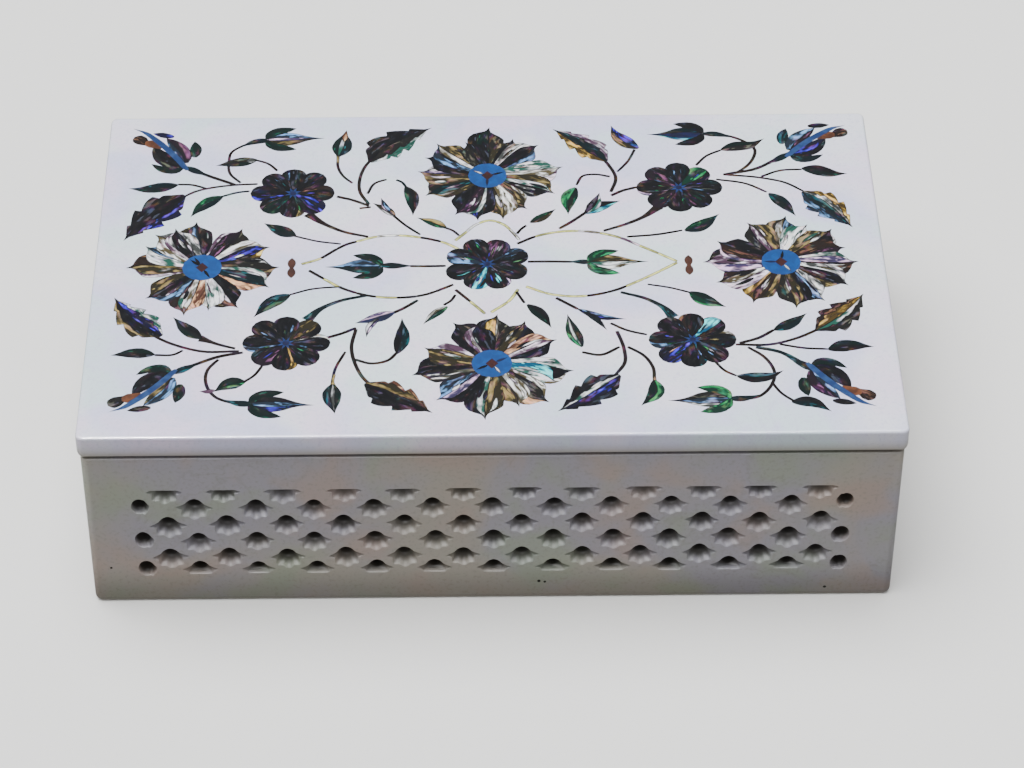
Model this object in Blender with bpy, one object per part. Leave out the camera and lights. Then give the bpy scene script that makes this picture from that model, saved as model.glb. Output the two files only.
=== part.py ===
"""A white marble box with a lift-off lid, for Blender 4.5.

The lid carries flush shell and stone inlay, and a lattice of star-shaped recesses with a
drilled hole in each is cut through the four walls. Units are metres. X runs along the box,
-Y is the front, Z is up, and the origin is the middle of the underside.
"""

from math import atan2, cos, hypot, pi, sin

import bmesh
import bpy
from mathutils import Matrix, Vector

# Driving dimensions of the box
LENGTH = 0.203
WIDTH = 0.127
HEIGHT = 0.057
WALL = 0.0075
FLOOR = 0.0075
CORNER_RADIUS = 0.0018
CAVITY_CORNER_RADIUS = 0.004
BODY_EDGE_RADIUS = 0.0015
RIM_EDGE_RADIUS = 0.0004

# Driving dimensions of the lid
LID_THICKNESS = 0.0073
LID_OVERHANG = 0.0006
LID_TOP_RADIUS = 0.0008
LID_LOWER_RADIUS = 0.0022
LIP_DEPTH = 0.0025
LIP_CHAMFER = 0.0006
LIP_CLEARANCE = 0.0006

# Driving dimensions of the lattice
LATTICE_SIDE_MARGIN = 0.0124
LATTICE_BAND = 0.0107
CELL_PITCH = 0.01475
ROW_PITCH = 0.0056
HOLE_RADIUS = 0.0017
STAR_SIDE_TIP = 0.0030
STAR_UPPER_TIP = 0.0027
STAR_WAIST_RIM = 0.0003
RECESS_DEPTH = 0.0013

# Driving dimensions of the inlay
INLAY_THICKNESS = 0.0016
FLOWER_RADIUS = 0.0195
PETAL_COUNT = 10
COLLAR_RADIUS = 0.0051
LOZENGE_RADIUS = 0.0018
ROSETTE_RADIUS = 0.0103
LOBE_COUNT = 8
BEAD_HALF_HEIGHT = 0.0038
BEAD_HALF_WIDTH = 0.0009
BUD_WIDTH = 0.0088
IRIS_WIDTH = 0.0125
LEAF_WIDTH = 0.0085

# Clearances between neighbouring pieces
JOINT_GAP = 0.0003
INLAY_GAP = 0.0003
CUT_OVERSHOOT = 0.0005
MITRE_LIMIT = 4.0

# Smoothness of the rounded corners and edges
CORNER_STEPS = 2
EDGE_STEPS = 2

# Places of the motifs, as shares of the lid's half length and half width
END_FLOWER_SHARE = 0.733
SIDE_FLOWER_SHARE = 0.588
ROSETTE_SHARE = (0.500, 0.477)
BEAD_SHARE = 0.502
MIDDLE_BUD_SHARES = ((0.285, 0.0), (0.404, 0.0))
LOOP_BUD_SHARES = ((0.577, 0.852), (0.425, 0.857))
IRIS_SHARES = ((0.776, 0.628), (0.906, 0.925))
END_LEAF_SHARES = ((0.800, 0.468), (0.936, 0.190))
SIDE_LEAF_SHARES = ((0.310, 0.680), (0.153, 0.910))

# Sizes that follow from the ones above
LID_BOTTOM = HEIGHT - LID_THICKNESS
RIM_TOP = LID_BOTTOM - JOINT_GAP
BODY_HALF_X = LENGTH / 2 - LID_OVERHANG
BODY_HALF_Y = WIDTH / 2 - LID_OVERHANG
CAVITY_HALF_X = BODY_HALF_X - WALL
CAVITY_HALF_Y = BODY_HALF_Y - WALL
POCKET_DEPTH = INLAY_THICKNESS + INLAY_GAP


def clear_scene():
    """Remove every object that the scene holds."""
    for thing in list(bpy.data.objects):
        bpy.data.objects.remove(thing, do_unlink=True)


def material(name, colour, roughness, metallic=0.0):
    """Make a plain Principled material."""
    made = bpy.data.materials.new(name)
    made.use_nodes = True
    shader = made.node_tree.nodes["Principled BSDF"]
    shader.inputs["Base Color"].default_value = (*colour, 1.0)
    shader.inputs["Roughness"].default_value = roughness
    shader.inputs["Metallic"].default_value = metallic
    return made


def add_object(name, bm, finish, place=(0.0, 0.0, 0.0), angle=0.0, parent=None):
    """Turn a bmesh into a named object with its faces pointing out."""
    bmesh.ops.recalc_face_normals(bm, faces=bm.faces)
    mesh = bpy.data.meshes.new(name)
    bm.to_mesh(mesh)
    bm.free()
    made = bpy.data.objects.new(name, mesh)
    made.location = place
    made.rotation_euler = (0.0, 0.0, angle)
    if finish:
        mesh.materials.append(finish)
    bpy.context.collection.objects.link(made)
    if parent:
        made.parent = parent
    return made


def make_cutter(made):
    """Mark an object as a cutter that is not part of the model."""
    made.hide_render = True
    made.display_type = "WIRE"
    return made


def cut(target, cutter):
    """Subtract one object from another."""
    boolean = target.modifiers.new(cutter.name, "BOOLEAN")
    boolean.operation = "DIFFERENCE"
    boolean.solver = "EXACT"
    boolean.object = cutter


def rounded_ring(half_x, half_y, radius, z):
    """Points of a level rectangle with rounded corners."""
    points = []
    for corner, (sx, sy) in enumerate(((1, 1), (-1, 1), (-1, -1), (1, -1))):
        for step in range(CORNER_STEPS + 1):
            angle = (corner + step / CORNER_STEPS) * pi / 2
            x = sx * (half_x - radius) + radius * cos(angle)
            y = sy * (half_y - radius) + radius * sin(angle)
            points.append(Vector((x, y, z)))
    return points


def stack_rings(rings):
    """Join rings of equal length into one closed skin."""
    bm = bmesh.new()
    levels = [[bm.verts.new(point) for point in ring] for ring in rings]
    for lower, upper in zip(levels, levels[1:]):
        for i in range(len(lower)):
            j = (i + 1) % len(lower)
            bm.faces.new((lower[i], lower[j], upper[j], upper[i]))
    bm.faces.new(levels[0])
    bm.faces.new(levels[-1])
    return bm


def rounding(radius):
    """Inset and rise of the points along a quarter-round edge, from flat to upright."""
    for step in range(EDGE_STEPS + 1):
        angle = step / EDGE_STEPS * pi / 2
        yield radius * (1 - sin(angle)), radius * (1 - cos(angle))


def outer_ring(half_x, half_y, inset, z):
    """Ring of a block's outside, drawn in by an inset."""
    radius = max(CORNER_RADIUS - inset, CORNER_RADIUS / 4)
    return rounded_ring(half_x - inset, half_y - inset, radius, z)


def box_body_mesh():
    """Open block: outside from the underside up, then the cavity down to its floor."""
    rings = [outer_ring(BODY_HALF_X, BODY_HALF_Y, inset, rise)
             for inset, rise in rounding(BODY_EDGE_RADIUS)]
    rings.append(outer_ring(BODY_HALF_X, BODY_HALF_Y, 0.0, RIM_TOP - RIM_EDGE_RADIUS))
    rings.append(outer_ring(BODY_HALF_X, BODY_HALF_Y, RIM_EDGE_RADIUS, RIM_TOP))
    for z in (RIM_TOP, FLOOR):
        rings.append(rounded_ring(CAVITY_HALF_X, CAVITY_HALF_Y, CAVITY_CORNER_RADIUS, z))
    return stack_rings(rings)


def lid_mesh():
    """Slab with rounded edges, and a lip below that drops into the cavity."""
    lip_x = CAVITY_HALF_X - LIP_CLEARANCE
    lip_y = CAVITY_HALF_Y - LIP_CLEARANCE
    lip_radius = CAVITY_CORNER_RADIUS
    lip_bottom = LID_BOTTOM - LIP_DEPTH
    rings = [
        rounded_ring(lip_x - LIP_CHAMFER, lip_y - LIP_CHAMFER, lip_radius, lip_bottom),
        rounded_ring(lip_x, lip_y, lip_radius, lip_bottom + LIP_CHAMFER),
        rounded_ring(lip_x, lip_y, lip_radius, LID_BOTTOM),
    ]
    for inset, rise in rounding(LID_LOWER_RADIUS):
        rings.append(outer_ring(LENGTH / 2, WIDTH / 2, inset, LID_BOTTOM + rise))
    for inset, drop in reversed(list(rounding(LID_TOP_RADIUS))):
        rings.append(outer_ring(LENGTH / 2, WIDTH / 2, inset, HEIGHT - drop))
    return stack_rings(rings)


def star_outline(waisted):
    """Mouth of a lattice cell, from the right tip round: a star, or a diamond with no waist."""
    tips = (HOLE_RADIUS + STAR_SIDE_TIP, HOLE_RADIUS + STAR_UPPER_TIP)
    waist = HOLE_RADIUS + STAR_WAIST_RIM
    points = []
    for quarter in range(4):
        angle = quarter * pi / 2
        points.append((tips[quarter % 2] * round(cos(angle)), tips[quarter % 2] * round(sin(angle))))
        if waisted:
            angle += pi / 4
            points.append((waist * cos(angle), waist * sin(angle)))
    return points


def regular_outline(sides, radius):
    """Regular polygon with its first point at the right."""
    return [(radius * cos(2 * pi * i / sides), radius * sin(2 * pi * i / sides))
            for i in range(sides)]


def zip_rings(bm, outer, inner):
    """Fill between two rings around one centre, both in order of angle from the right."""
    i = j = 0
    while i < len(outer) or j < len(inner):
        next_outer = (i + 1) / len(outer)
        next_inner = (j + 1) / len(inner)
        a, b = outer[i % len(outer)], inner[j % len(inner)]
        if j >= len(inner) or (i < len(outer) and next_outer <= next_inner):
            bm.faces.new((a, outer[(i + 1) % len(outer)], b))
            i += 1
        else:
            bm.faces.new((a, inner[(j + 1) % len(inner)], b))
            j += 1


def ring_at(bm, outline, centre, depth):
    """Vertices of an outline in a wall's own plane; depth runs into the wall along -Z."""
    return [bm.verts.new((centre[0] + x, centre[1] + y, -depth)) for x, y in outline]


def side_walls(bm, upper, lower):
    """Quads between two rings of equal length."""
    for i in range(len(upper)):
        j = (i + 1) % len(upper)
        bm.faces.new((upper[i], upper[j], lower[j], lower[i]))


def pierced_cell(bm, centre, outline, hole_sides):
    """Cutter of a whole cell: its mouth slopes in to a hole right through the wall."""
    hole = regular_outline(hole_sides, HOLE_RADIUS)
    cap = ring_at(bm, outline, centre, -CUT_OVERSHOOT)
    mouth = ring_at(bm, outline, centre, 0.0)
    throat = ring_at(bm, hole, centre, RECESS_DEPTH)
    end = ring_at(bm, hole, centre, WALL + CUT_OVERSHOOT)
    bm.faces.new(cap)
    side_walls(bm, cap, mouth)
    zip_rings(bm, mouth, throat)
    side_walls(bm, throat, end)
    bm.faces.new(end)


def border_cell(bm, centre, whole_outline, keep_x, keep_y):
    """Cutter of a cell that the panel's border cuts: blind, deepest at the border."""
    outline = [(x, y) for x, y in whole_outline if x * keep_x >= 0 and y * keep_y >= 0]
    if keep_x and keep_y:
        outline.append((0.0, 0.0))
    middle = sum((Vector(point) for point in outline), Vector((0.0, 0.0))) / len(outline)
    outline.sort(key=lambda point: atan2(point[1] - middle.y, point[0] - middle.x))
    cap = ring_at(bm, outline, centre, -CUT_OVERSHOOT)
    mouth = ring_at(bm, outline, centre, 0.0)
    deepest = bm.verts.new((centre[0], centre[1], -RECESS_DEPTH))
    bm.faces.new(cap)
    side_walls(bm, cap, mouth)
    for i in range(len(mouth)):
        bm.faces.new((mouth[i], mouth[(i + 1) % len(mouth)], deepest))


def lattice_cutter(name, half_length, wall_distance, turn, waisted, hole_sides):
    """All cells of one wall, drawn flat and stood up on the wall's outer face."""
    bm = bmesh.new()
    outline = star_outline(waisted)
    half_panel = half_length - LATTICE_SIDE_MARGIN
    bottom, top = LATTICE_BAND, RIM_TOP - LATTICE_BAND
    columns = max(round(2 * half_panel / CELL_PITCH), 1)
    rows = max(round((top - bottom) / ROW_PITCH), 2)
    pitch = 2 * half_panel / columns
    for row in range(rows + 1):
        height = top - row * (top - bottom) / rows
        keep_y = {0: -1, rows: 1}.get(row, 0)
        offset = 0.5 if row % 2 == 0 else 0.0
        count = columns if offset else columns + 1
        for column in range(count):
            keep_x = 0 if offset else {0: 1, columns: -1}.get(column, 0)
            centre = (-half_panel + (column + offset) * pitch, height)
            if keep_x or keep_y:
                border_cell(bm, centre, outline, keep_x, keep_y)
            else:
                pierced_cell(bm, centre, outline, hole_sides)
    stand = Matrix.Rotation(turn, 4, "Z") @ Matrix.Translation((0.0, -wall_distance, 0.0))
    bmesh.ops.transform(bm, matrix=stand @ Matrix.Rotation(pi / 2, 4, "X"), verts=bm.verts)
    return make_cutter(add_object(name, bm, None))


def grow(outline, distance):
    """Move an outline's edges outward by a distance, with mitred corners."""
    grown = []
    count = len(outline)
    for i in range(count):
        before, here, after = (Vector(outline[(i + k) % count]) for k in (-1, 0, 1))
        first = (here - before).normalized()
        second = (after - here).normalized()
        normals = [Vector((edge.y, -edge.x)) for edge in (first, second)]
        middle = (normals[0] + normals[1]).normalized()
        reach = min(1 / max(middle.dot(normals[0]), 0.01), MITRE_LIMIT)
        grown.append(tuple(here + middle * distance * reach))
    return grown


def petal_outline(radius, count, petal_points):
    """Flower outline: each petal's points are turns from its middle and shares of the radius."""
    points = []
    for petal in range(count):
        for turn, share in petal_points:
            angle = (petal + turn) * 2 * pi / count
            points.append((radius * share * cos(angle), radius * share * sin(angle)))
    return points


def flower_outline():
    """Pointed petals with round shoulders."""
    return petal_outline(FLOWER_RADIUS, PETAL_COUNT, ((-0.5, 0.70), (-0.24, 0.87), (0, 1.0), (0.24, 0.87)))


def rosette_outline():
    """Blunt round lobes."""
    return petal_outline(ROSETTE_RADIUS, LOBE_COUNT, ((-0.5, 0.68), (-0.21, 1.0), (0.21, 1.0)))


def bead_outline():
    """Two round lobes, one above the other."""
    w, h = BEAD_HALF_WIDTH, BEAD_HALF_HEIGHT
    return [(0.0, -h), (w, -0.55 * h), (0.45 * w, 0.0), (w, 0.55 * h),
            (0.0, h), (-w, 0.55 * h), (-0.45 * w, 0.0), (-w, -0.55 * h)]


def bud_outline(length):
    """Cup of two sepals with a pointed middle petal, along +X."""
    w = BUD_WIDTH / 2
    return [(0.0, 0.0), (0.22 * length, -0.55 * w), (0.48 * length, -w), (0.56 * length, -0.35 * w),
            (length, 0.0), (0.56 * length, 0.35 * w), (0.48 * length, w), (0.22 * length, 0.55 * w)]


def iris_outline(length):
    """Long blade with a curled lobe on each side near its root, along +X."""
    w = IRIS_WIDTH / 2
    return [(0.0, 0.0), (0.25 * length, -w), (0.45 * length, -0.75 * w), (0.80 * length, -0.5 * w),
            (length, 0.0), (0.74 * length, 0.8 * w), (0.40 * length, 0.45 * w), (0.17 * length, 0.9 * w)]


def leaf_outline(length):
    """Leaf with teeth down one side, along +X."""
    w = LEAF_WIDTH / 2
    return [(0.0, 0.0), (0.24 * length, -w), (0.58 * length, -0.7 * w), (length, 0.0),
            (0.66 * length, 0.45 * w), (0.58 * length, 0.95 * w), (0.36 * length, 0.6 * w),
            (0.20 * length, 0.9 * w)]


def prism(bm, outline, top, bottom, matrix=None, opening=None):
    """Upright prism on an outline, with an opening right through it if one is given."""
    matrix = matrix or Matrix.Identity(4)
    rings = [[bm.verts.new(matrix @ Vector((x, y, z))) for x, y in outline] for z in (top, bottom)]
    side_walls(bm, *rings)
    if not opening:
        for ring in rings:
            bm.faces.new(ring)
        return
    inner = [[bm.verts.new(matrix @ Vector((x, y, z))) for x, y in opening] for z in (top, bottom)]
    side_walls(bm, *inner)
    for outer_ring_points, inner_ring_points in zip(rings, inner):
        zip_rings(bm, outer_ring_points, inner_ring_points)


def on_lid(share_x, share_y):
    """Point of the lid's top, from its shares of the half length and half width."""
    return Vector((share_x * LENGTH / 2, share_y * WIDTH / 2, HEIGHT))


class Inlay:
    """The lid's inlay: adds each piece, and keeps the shape of the pocket that it needs."""

    def __init__(self, lid):
        self.lid = lid
        self.pockets = bmesh.new()

    def add(self, name, outline, finish, place, angle=0.0, opening=None, pocket=True):
        """Set one piece flush in the lid."""
        bm = bmesh.new()
        prism(bm, outline, 0.0, -INLAY_THICKNESS, opening=opening)
        local = place - self.lid.location
        add_object(name, bm, finish, local, angle, self.lid)
        if pocket:
            matrix = Matrix.Translation(place) @ Matrix.Rotation(angle, 4, "Z")
            prism(self.pockets, grow(outline, INLAY_GAP), CUT_OVERSHOOT, -POCKET_DEPTH, matrix)

    def add_between(self, name, shape, shares, signs, finish):
        """Set a piece from its root to its tip, mirrored into one quarter of the lid."""
        root, tip = (on_lid(x * signs[0], y * signs[1]) for x, y in shares)
        run = tip - root
        outline = shape(hypot(run.x, run.y))
        if signs[0] * signs[1] < 0:
            outline = [(x, -y) for x, y in reversed(outline)]
        self.add(name, outline, finish, root, atan2(run.y, run.x))

    def cut_pockets(self):
        """Cut every pocket out of the lid."""
        cut(self.lid, make_cutter(add_object("lid_pockets", self.pockets, None)))


def add_flower(inlay, name, place, angle, finishes):
    """Large flower: a ring of petals, a collar in it and a lozenge in the collar."""
    collar = regular_outline(PETAL_COUNT, COLLAR_RADIUS)
    lozenge = regular_outline(4, LOZENGE_RADIUS)
    inlay.add(name, flower_outline(), finishes["shell"], place, angle, grow(collar, INLAY_GAP))
    inlay.add(name + "_collar", collar, finishes["blue"], place, angle,
              grow(lozenge, INLAY_GAP), pocket=False)
    inlay.add(name + "_centre", lozenge, finishes["red"], place, angle, pocket=False)


def add_inlay(lid, finishes):
    """The whole pattern, the same in the lid's four quarters."""
    inlay = Inlay(lid)
    for turn, name in enumerate(("right", "back", "left", "front")):
        angle = turn * pi / 2
        place = on_lid(END_FLOWER_SHARE * round(cos(angle)), SIDE_FLOWER_SHARE * round(sin(angle)))
        add_flower(inlay, "flower_" + name, place, angle, finishes)
    inlay.add("rosette_middle", rosette_outline(), finishes["dark_shell"], on_lid(0.0, 0.0),
              pi / LOBE_COUNT)
    for sx, side in ((-1, "left"), (1, "right")):
        inlay.add("bead_" + side, bead_outline(), finishes["brown"], on_lid(sx * BEAD_SHARE, 0.0))
        inlay.add_between("bud_" + side, bud_outline, MIDDLE_BUD_SHARES, (sx, 1), finishes["shell"])
        for sy, end in ((1, "back"), (-1, "front")):
            where = end + "_" + side
            inlay.add("rosette_" + where, rosette_outline(), finishes["dark_shell"],
                      on_lid(sx * ROSETTE_SHARE[0], sy * ROSETTE_SHARE[1]))
            for kind, shape, shares, finish in (
                    ("bud_", bud_outline, LOOP_BUD_SHARES, "shell"),
                    ("iris_", iris_outline, IRIS_SHARES, "blue"),
                    ("leaf_end_", leaf_outline, END_LEAF_SHARES, "dark_shell"),
                    ("leaf_side_", leaf_outline, SIDE_LEAF_SHARES, "dark_shell")):
                inlay.add_between(kind + where, shape, shares, (sx, sy), finishes[finish])
    inlay.cut_pockets()


def build():
    """Make the box, its lid and the inlay."""
    clear_scene()
    marble = material("marble", (0.70, 0.70, 0.74), 0.30)
    finishes = {
        "shell": material("shell", (0.20, 0.21, 0.19), 0.20),
        "dark_shell": material("dark_shell", (0.025, 0.05, 0.05), 0.20),
        "blue": material("blue_stone", (0.02, 0.20, 0.56), 0.30),
        "red": material("red_stone", (0.14, 0.01, 0.01), 0.30),
        "brown": material("brown_stone", (0.24, 0.06, 0.01), 0.30),
    }
    body = add_object("box_body", box_body_mesh(), marble)
    for name, half_length, distance, turn, waisted, sides in (
            ("front", BODY_HALF_X, BODY_HALF_Y, 0.0, True, 6),
            ("right", BODY_HALF_Y, BODY_HALF_X, pi / 2, False, 4),
            ("back", BODY_HALF_X, BODY_HALF_Y, pi, False, 4),
            ("left", BODY_HALF_Y, BODY_HALF_X, -pi / 2, False, 4)):
        cut(body, lattice_cutter("lattice_" + name, half_length, distance, turn, waisted, sides))

    lid_bm = lid_mesh()
    bmesh.ops.translate(lid_bm, vec=(0.0, 0.0, -LID_BOTTOM), verts=lid_bm.verts)
    lid = add_object("lid", lid_bm, marble, (0.0, 0.0, LID_BOTTOM))
    add_inlay(lid, finishes)


build()
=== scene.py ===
"""Looks of an inlaid marble box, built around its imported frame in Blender 4.5.

The box is polished white marble. Its walls are pierced by a lattice of carved cells, and its
lift-off lid is inlaid flush with strips of paua shell and stone. Lengths here are millimetres
in the frame of the box: x to the right, y to the back, z up, from the middle of its underside.
"""

from __future__ import annotations

import logging
import random
from dataclasses import dataclass, field
from enum import Enum
from itertools import pairwise
from math import atan2, cos, hypot, pi, radians, sin
from typing import Callable, Iterable, Sequence

import bmesh
import bpy
import numpy as np
from mathutils import Matrix, Vector
from mathutils.geometry import delaunay_2d_cdt


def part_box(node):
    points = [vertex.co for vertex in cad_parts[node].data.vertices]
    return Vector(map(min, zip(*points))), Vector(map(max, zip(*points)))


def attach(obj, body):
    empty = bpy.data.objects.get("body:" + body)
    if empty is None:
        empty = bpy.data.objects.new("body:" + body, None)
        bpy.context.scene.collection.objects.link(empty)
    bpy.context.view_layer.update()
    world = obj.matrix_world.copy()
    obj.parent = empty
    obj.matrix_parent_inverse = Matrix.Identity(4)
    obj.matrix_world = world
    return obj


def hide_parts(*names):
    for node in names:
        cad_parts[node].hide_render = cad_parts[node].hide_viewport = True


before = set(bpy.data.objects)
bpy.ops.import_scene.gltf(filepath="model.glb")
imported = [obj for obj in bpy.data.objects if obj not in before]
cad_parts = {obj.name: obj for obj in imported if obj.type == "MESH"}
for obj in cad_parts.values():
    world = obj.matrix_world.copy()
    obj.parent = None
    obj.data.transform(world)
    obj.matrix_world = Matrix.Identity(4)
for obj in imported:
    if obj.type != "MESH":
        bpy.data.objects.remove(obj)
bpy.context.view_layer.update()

log = logging.getLogger("marble_box")

Point = tuple[float, float]
Point3 = tuple[float, float, float]
Colour = tuple[float, float, float, float]
Loop = Sequence[Point3]

MM = 0.001
WELD_STEP = 1e-4
BODY = "root"
KEY_LIGHT = 2.2
DARKEST, PALEST = 0.0005, 0.93
BRIGHT_GLOW, BRIGHT_SHARE = 0.2, 0.6
TONES = ((0, 0.0), (32, 0.02), (58, 0.05), (87, 0.10), (118, 0.18), (145, 0.30), (165, 0.45),
         (177, 0.60), (188, 0.80), (196, 1.0), (205, 1.3), (213, 1.7), (222, 2.5), (255, 6.0))


def box_of(node: str) -> tuple[Vector, Vector]:
    """Read where a frame node is.

    Args:
        node: Name of the node in the frame.

    Returns:
        Its lowest and highest corners, in millimetres.
    """
    low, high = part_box(node)
    return low / MM, high / MM


def ink(red: int, green: int, blue: int) -> Colour:
    """Find the finish that looks like a given colour once it is lit.

    Args:
        red: Red from 0 to 255.
        green: Green from 0 to 255.
        blue: Blue from 0 to 255.

    Returns:
        The linear colour for the shader, opaque.
    """
    tones = np.interp((red, green, blue), *zip(*TONES)) / KEY_LIGHT
    return (*(float(tone) for tone in np.clip(tones, DARKEST, PALEST)), 1.0)


def even_slopes(keys: np.ndarray, values: np.ndarray) -> np.ndarray:
    """Find slopes at key values that never carry a curve past them.

    Args:
        keys: Rising places of the keys.
        values: One number for each key.

    Returns:
        The slope at each key.
    """
    rises = np.diff(values) / np.diff(keys)
    before, after = rises[:-1], rises[1:]
    same = before * after > 0
    middle = np.where(same, 2 * before * after / np.where(same, before + after, 1.0), 0.0)
    return np.concatenate(([rises[0]], middle, [rises[-1]]))


def hermite(keys: np.ndarray, values: np.ndarray, at: np.ndarray,
            slopes: np.ndarray | None = None) -> np.ndarray:
    """Run a smooth curve through key values.

    Args:
        keys: Rising places of the keys.
        values: One value or vector for each key.
        at: Places to read.
        slopes: Slope at each key, or none for a free curve.

    Returns:
        The curve's value at each place.
    """
    if slopes is None:
        slopes = np.gradient(values, keys, axis=0)
    i = np.clip(np.searchsorted(keys, at) - 1, 0, len(keys) - 2)
    span = keys[i + 1] - keys[i]
    t = (at - keys[i]) / span
    if values.ndim > 1:
        span, t = span[:, None], t[:, None]
    return ((1 + 2 * t) * (1 - t) ** 2 * values[i] + t * (1 - t) ** 2 * span * slopes[i]
            + t * t * (3 - 2 * t) * values[i + 1] + t * t * (t - 1) * span * slopes[i + 1])


def inside(points: np.ndarray, outline: np.ndarray) -> np.ndarray:
    """Test which points lie within an outline.

    Args:
        points: Points, one row each.
        outline: Corners of the closed outline in order.

    Returns:
        True for each point inside.
    """
    x, y = points[:, :1], points[:, 1:]
    x1, y1 = outline.T
    x2, y2 = np.roll(outline, -1, axis=0).T
    rise = np.where(y2 == y1, 1.0, y2 - y1)
    crossed = ((y1 > y) != (y2 > y)) & (x < (x2 - x1) * (y - y1) / rise + x1)
    return crossed.sum(axis=1) % 2 == 1


def within(points: np.ndarray, outline: np.ndarray) -> np.ndarray:
    """Test which of many points lie within a small outline.

    Args:
        points: Points, one row each.
        outline: Corners of the closed outline in order.

    Returns:
        True for each point inside.
    """
    near = np.all((points > outline.min(axis=0)) & (points < outline.max(axis=0)), axis=1)
    near[near] = inside(points[near], outline)
    return near


def triangulate(lines: Iterable[tuple[Sequence[Point], bool]],
                gap: float) -> tuple[np.ndarray, np.ndarray]:
    """Cut a plane into triangles along lines.

    Args:
        lines: Each line's points, and whether it closes on itself.
        gap: Points nearer together than this become one.

    Returns:
        The corners, one row each, and the three corners' numbers of each triangle.
    """
    points, edges = [], []
    for line, closed in lines:
        start, count = len(points), len(line)
        points.extend(Vector(point) for point in line)
        edges += [(start + i, start + i + 1) for i in range(count - 1)]
        if closed:
            edges.append((start + count - 1, start))
    verts, _, faces, *_ = delaunay_2d_cdt(points, edges, [], 0, gap, False)
    return np.array([tuple(vert) for vert in verts]), np.array(faces)


class Wire:
    """A number that varies over a surface, with arithmetic that adds the shader's own nodes."""

    def __init__(self, graph: "Graph", socket: bpy.types.NodeSocket) -> None:
        """Keep the graph and the socket that gives the number."""
        self.graph = graph
        self.socket = socket

    def _math(self, operation: str, *terms: "Wire | float") -> "Wire":
        """Add one Math node.

        Args:
            operation: The node's operation.
            terms: Numbers for its sockets, in order.

        Returns:
            The result.
        """
        node = self.graph.node("ShaderNodeMath", {"operation": operation}, dict(enumerate(terms)))
        return Wire(self.graph, node.outputs[0])

    def __add__(self, other: "Wire | float") -> "Wire":
        """Add."""
        return self._math("ADD", self, other)

    __radd__ = __add__

    def __sub__(self, other: "Wire | float") -> "Wire":
        """Subtract."""
        return self._math("SUBTRACT", self, other)

    def __rsub__(self, other: float) -> "Wire":
        """Subtract from a number."""
        return self._math("SUBTRACT", other, self)

    def __mul__(self, other: "Wire | float") -> "Wire":
        """Multiply."""
        return self._math("MULTIPLY", self, other)

    __rmul__ = __mul__

    def __abs__(self) -> "Wire":
        """Drop the sign."""
        return self._math("ABSOLUTE", self)

    def wave(self) -> "Wire":
        """Sine of the number."""
        return self._math("SINE", self)

    def least(self, other: "Wire | float") -> "Wire":
        """Smaller of the two."""
        return self._math("MINIMUM", self, other)

    def step(self, low: float, high: float) -> "Wire":
        """Rise smoothly from 0 at one value to 1 at another.

        Args:
            low: Value that gives 0.
            high: Value that gives 1.

        Returns:
            The smooth step.
        """
        node = self.graph.node("ShaderNodeMapRange", {"interpolation_type": "SMOOTHSTEP"},
                               {"Value": self, "From Min": low, "From Max": high})
        return Wire(self.graph, node.outputs["Result"])


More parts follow.
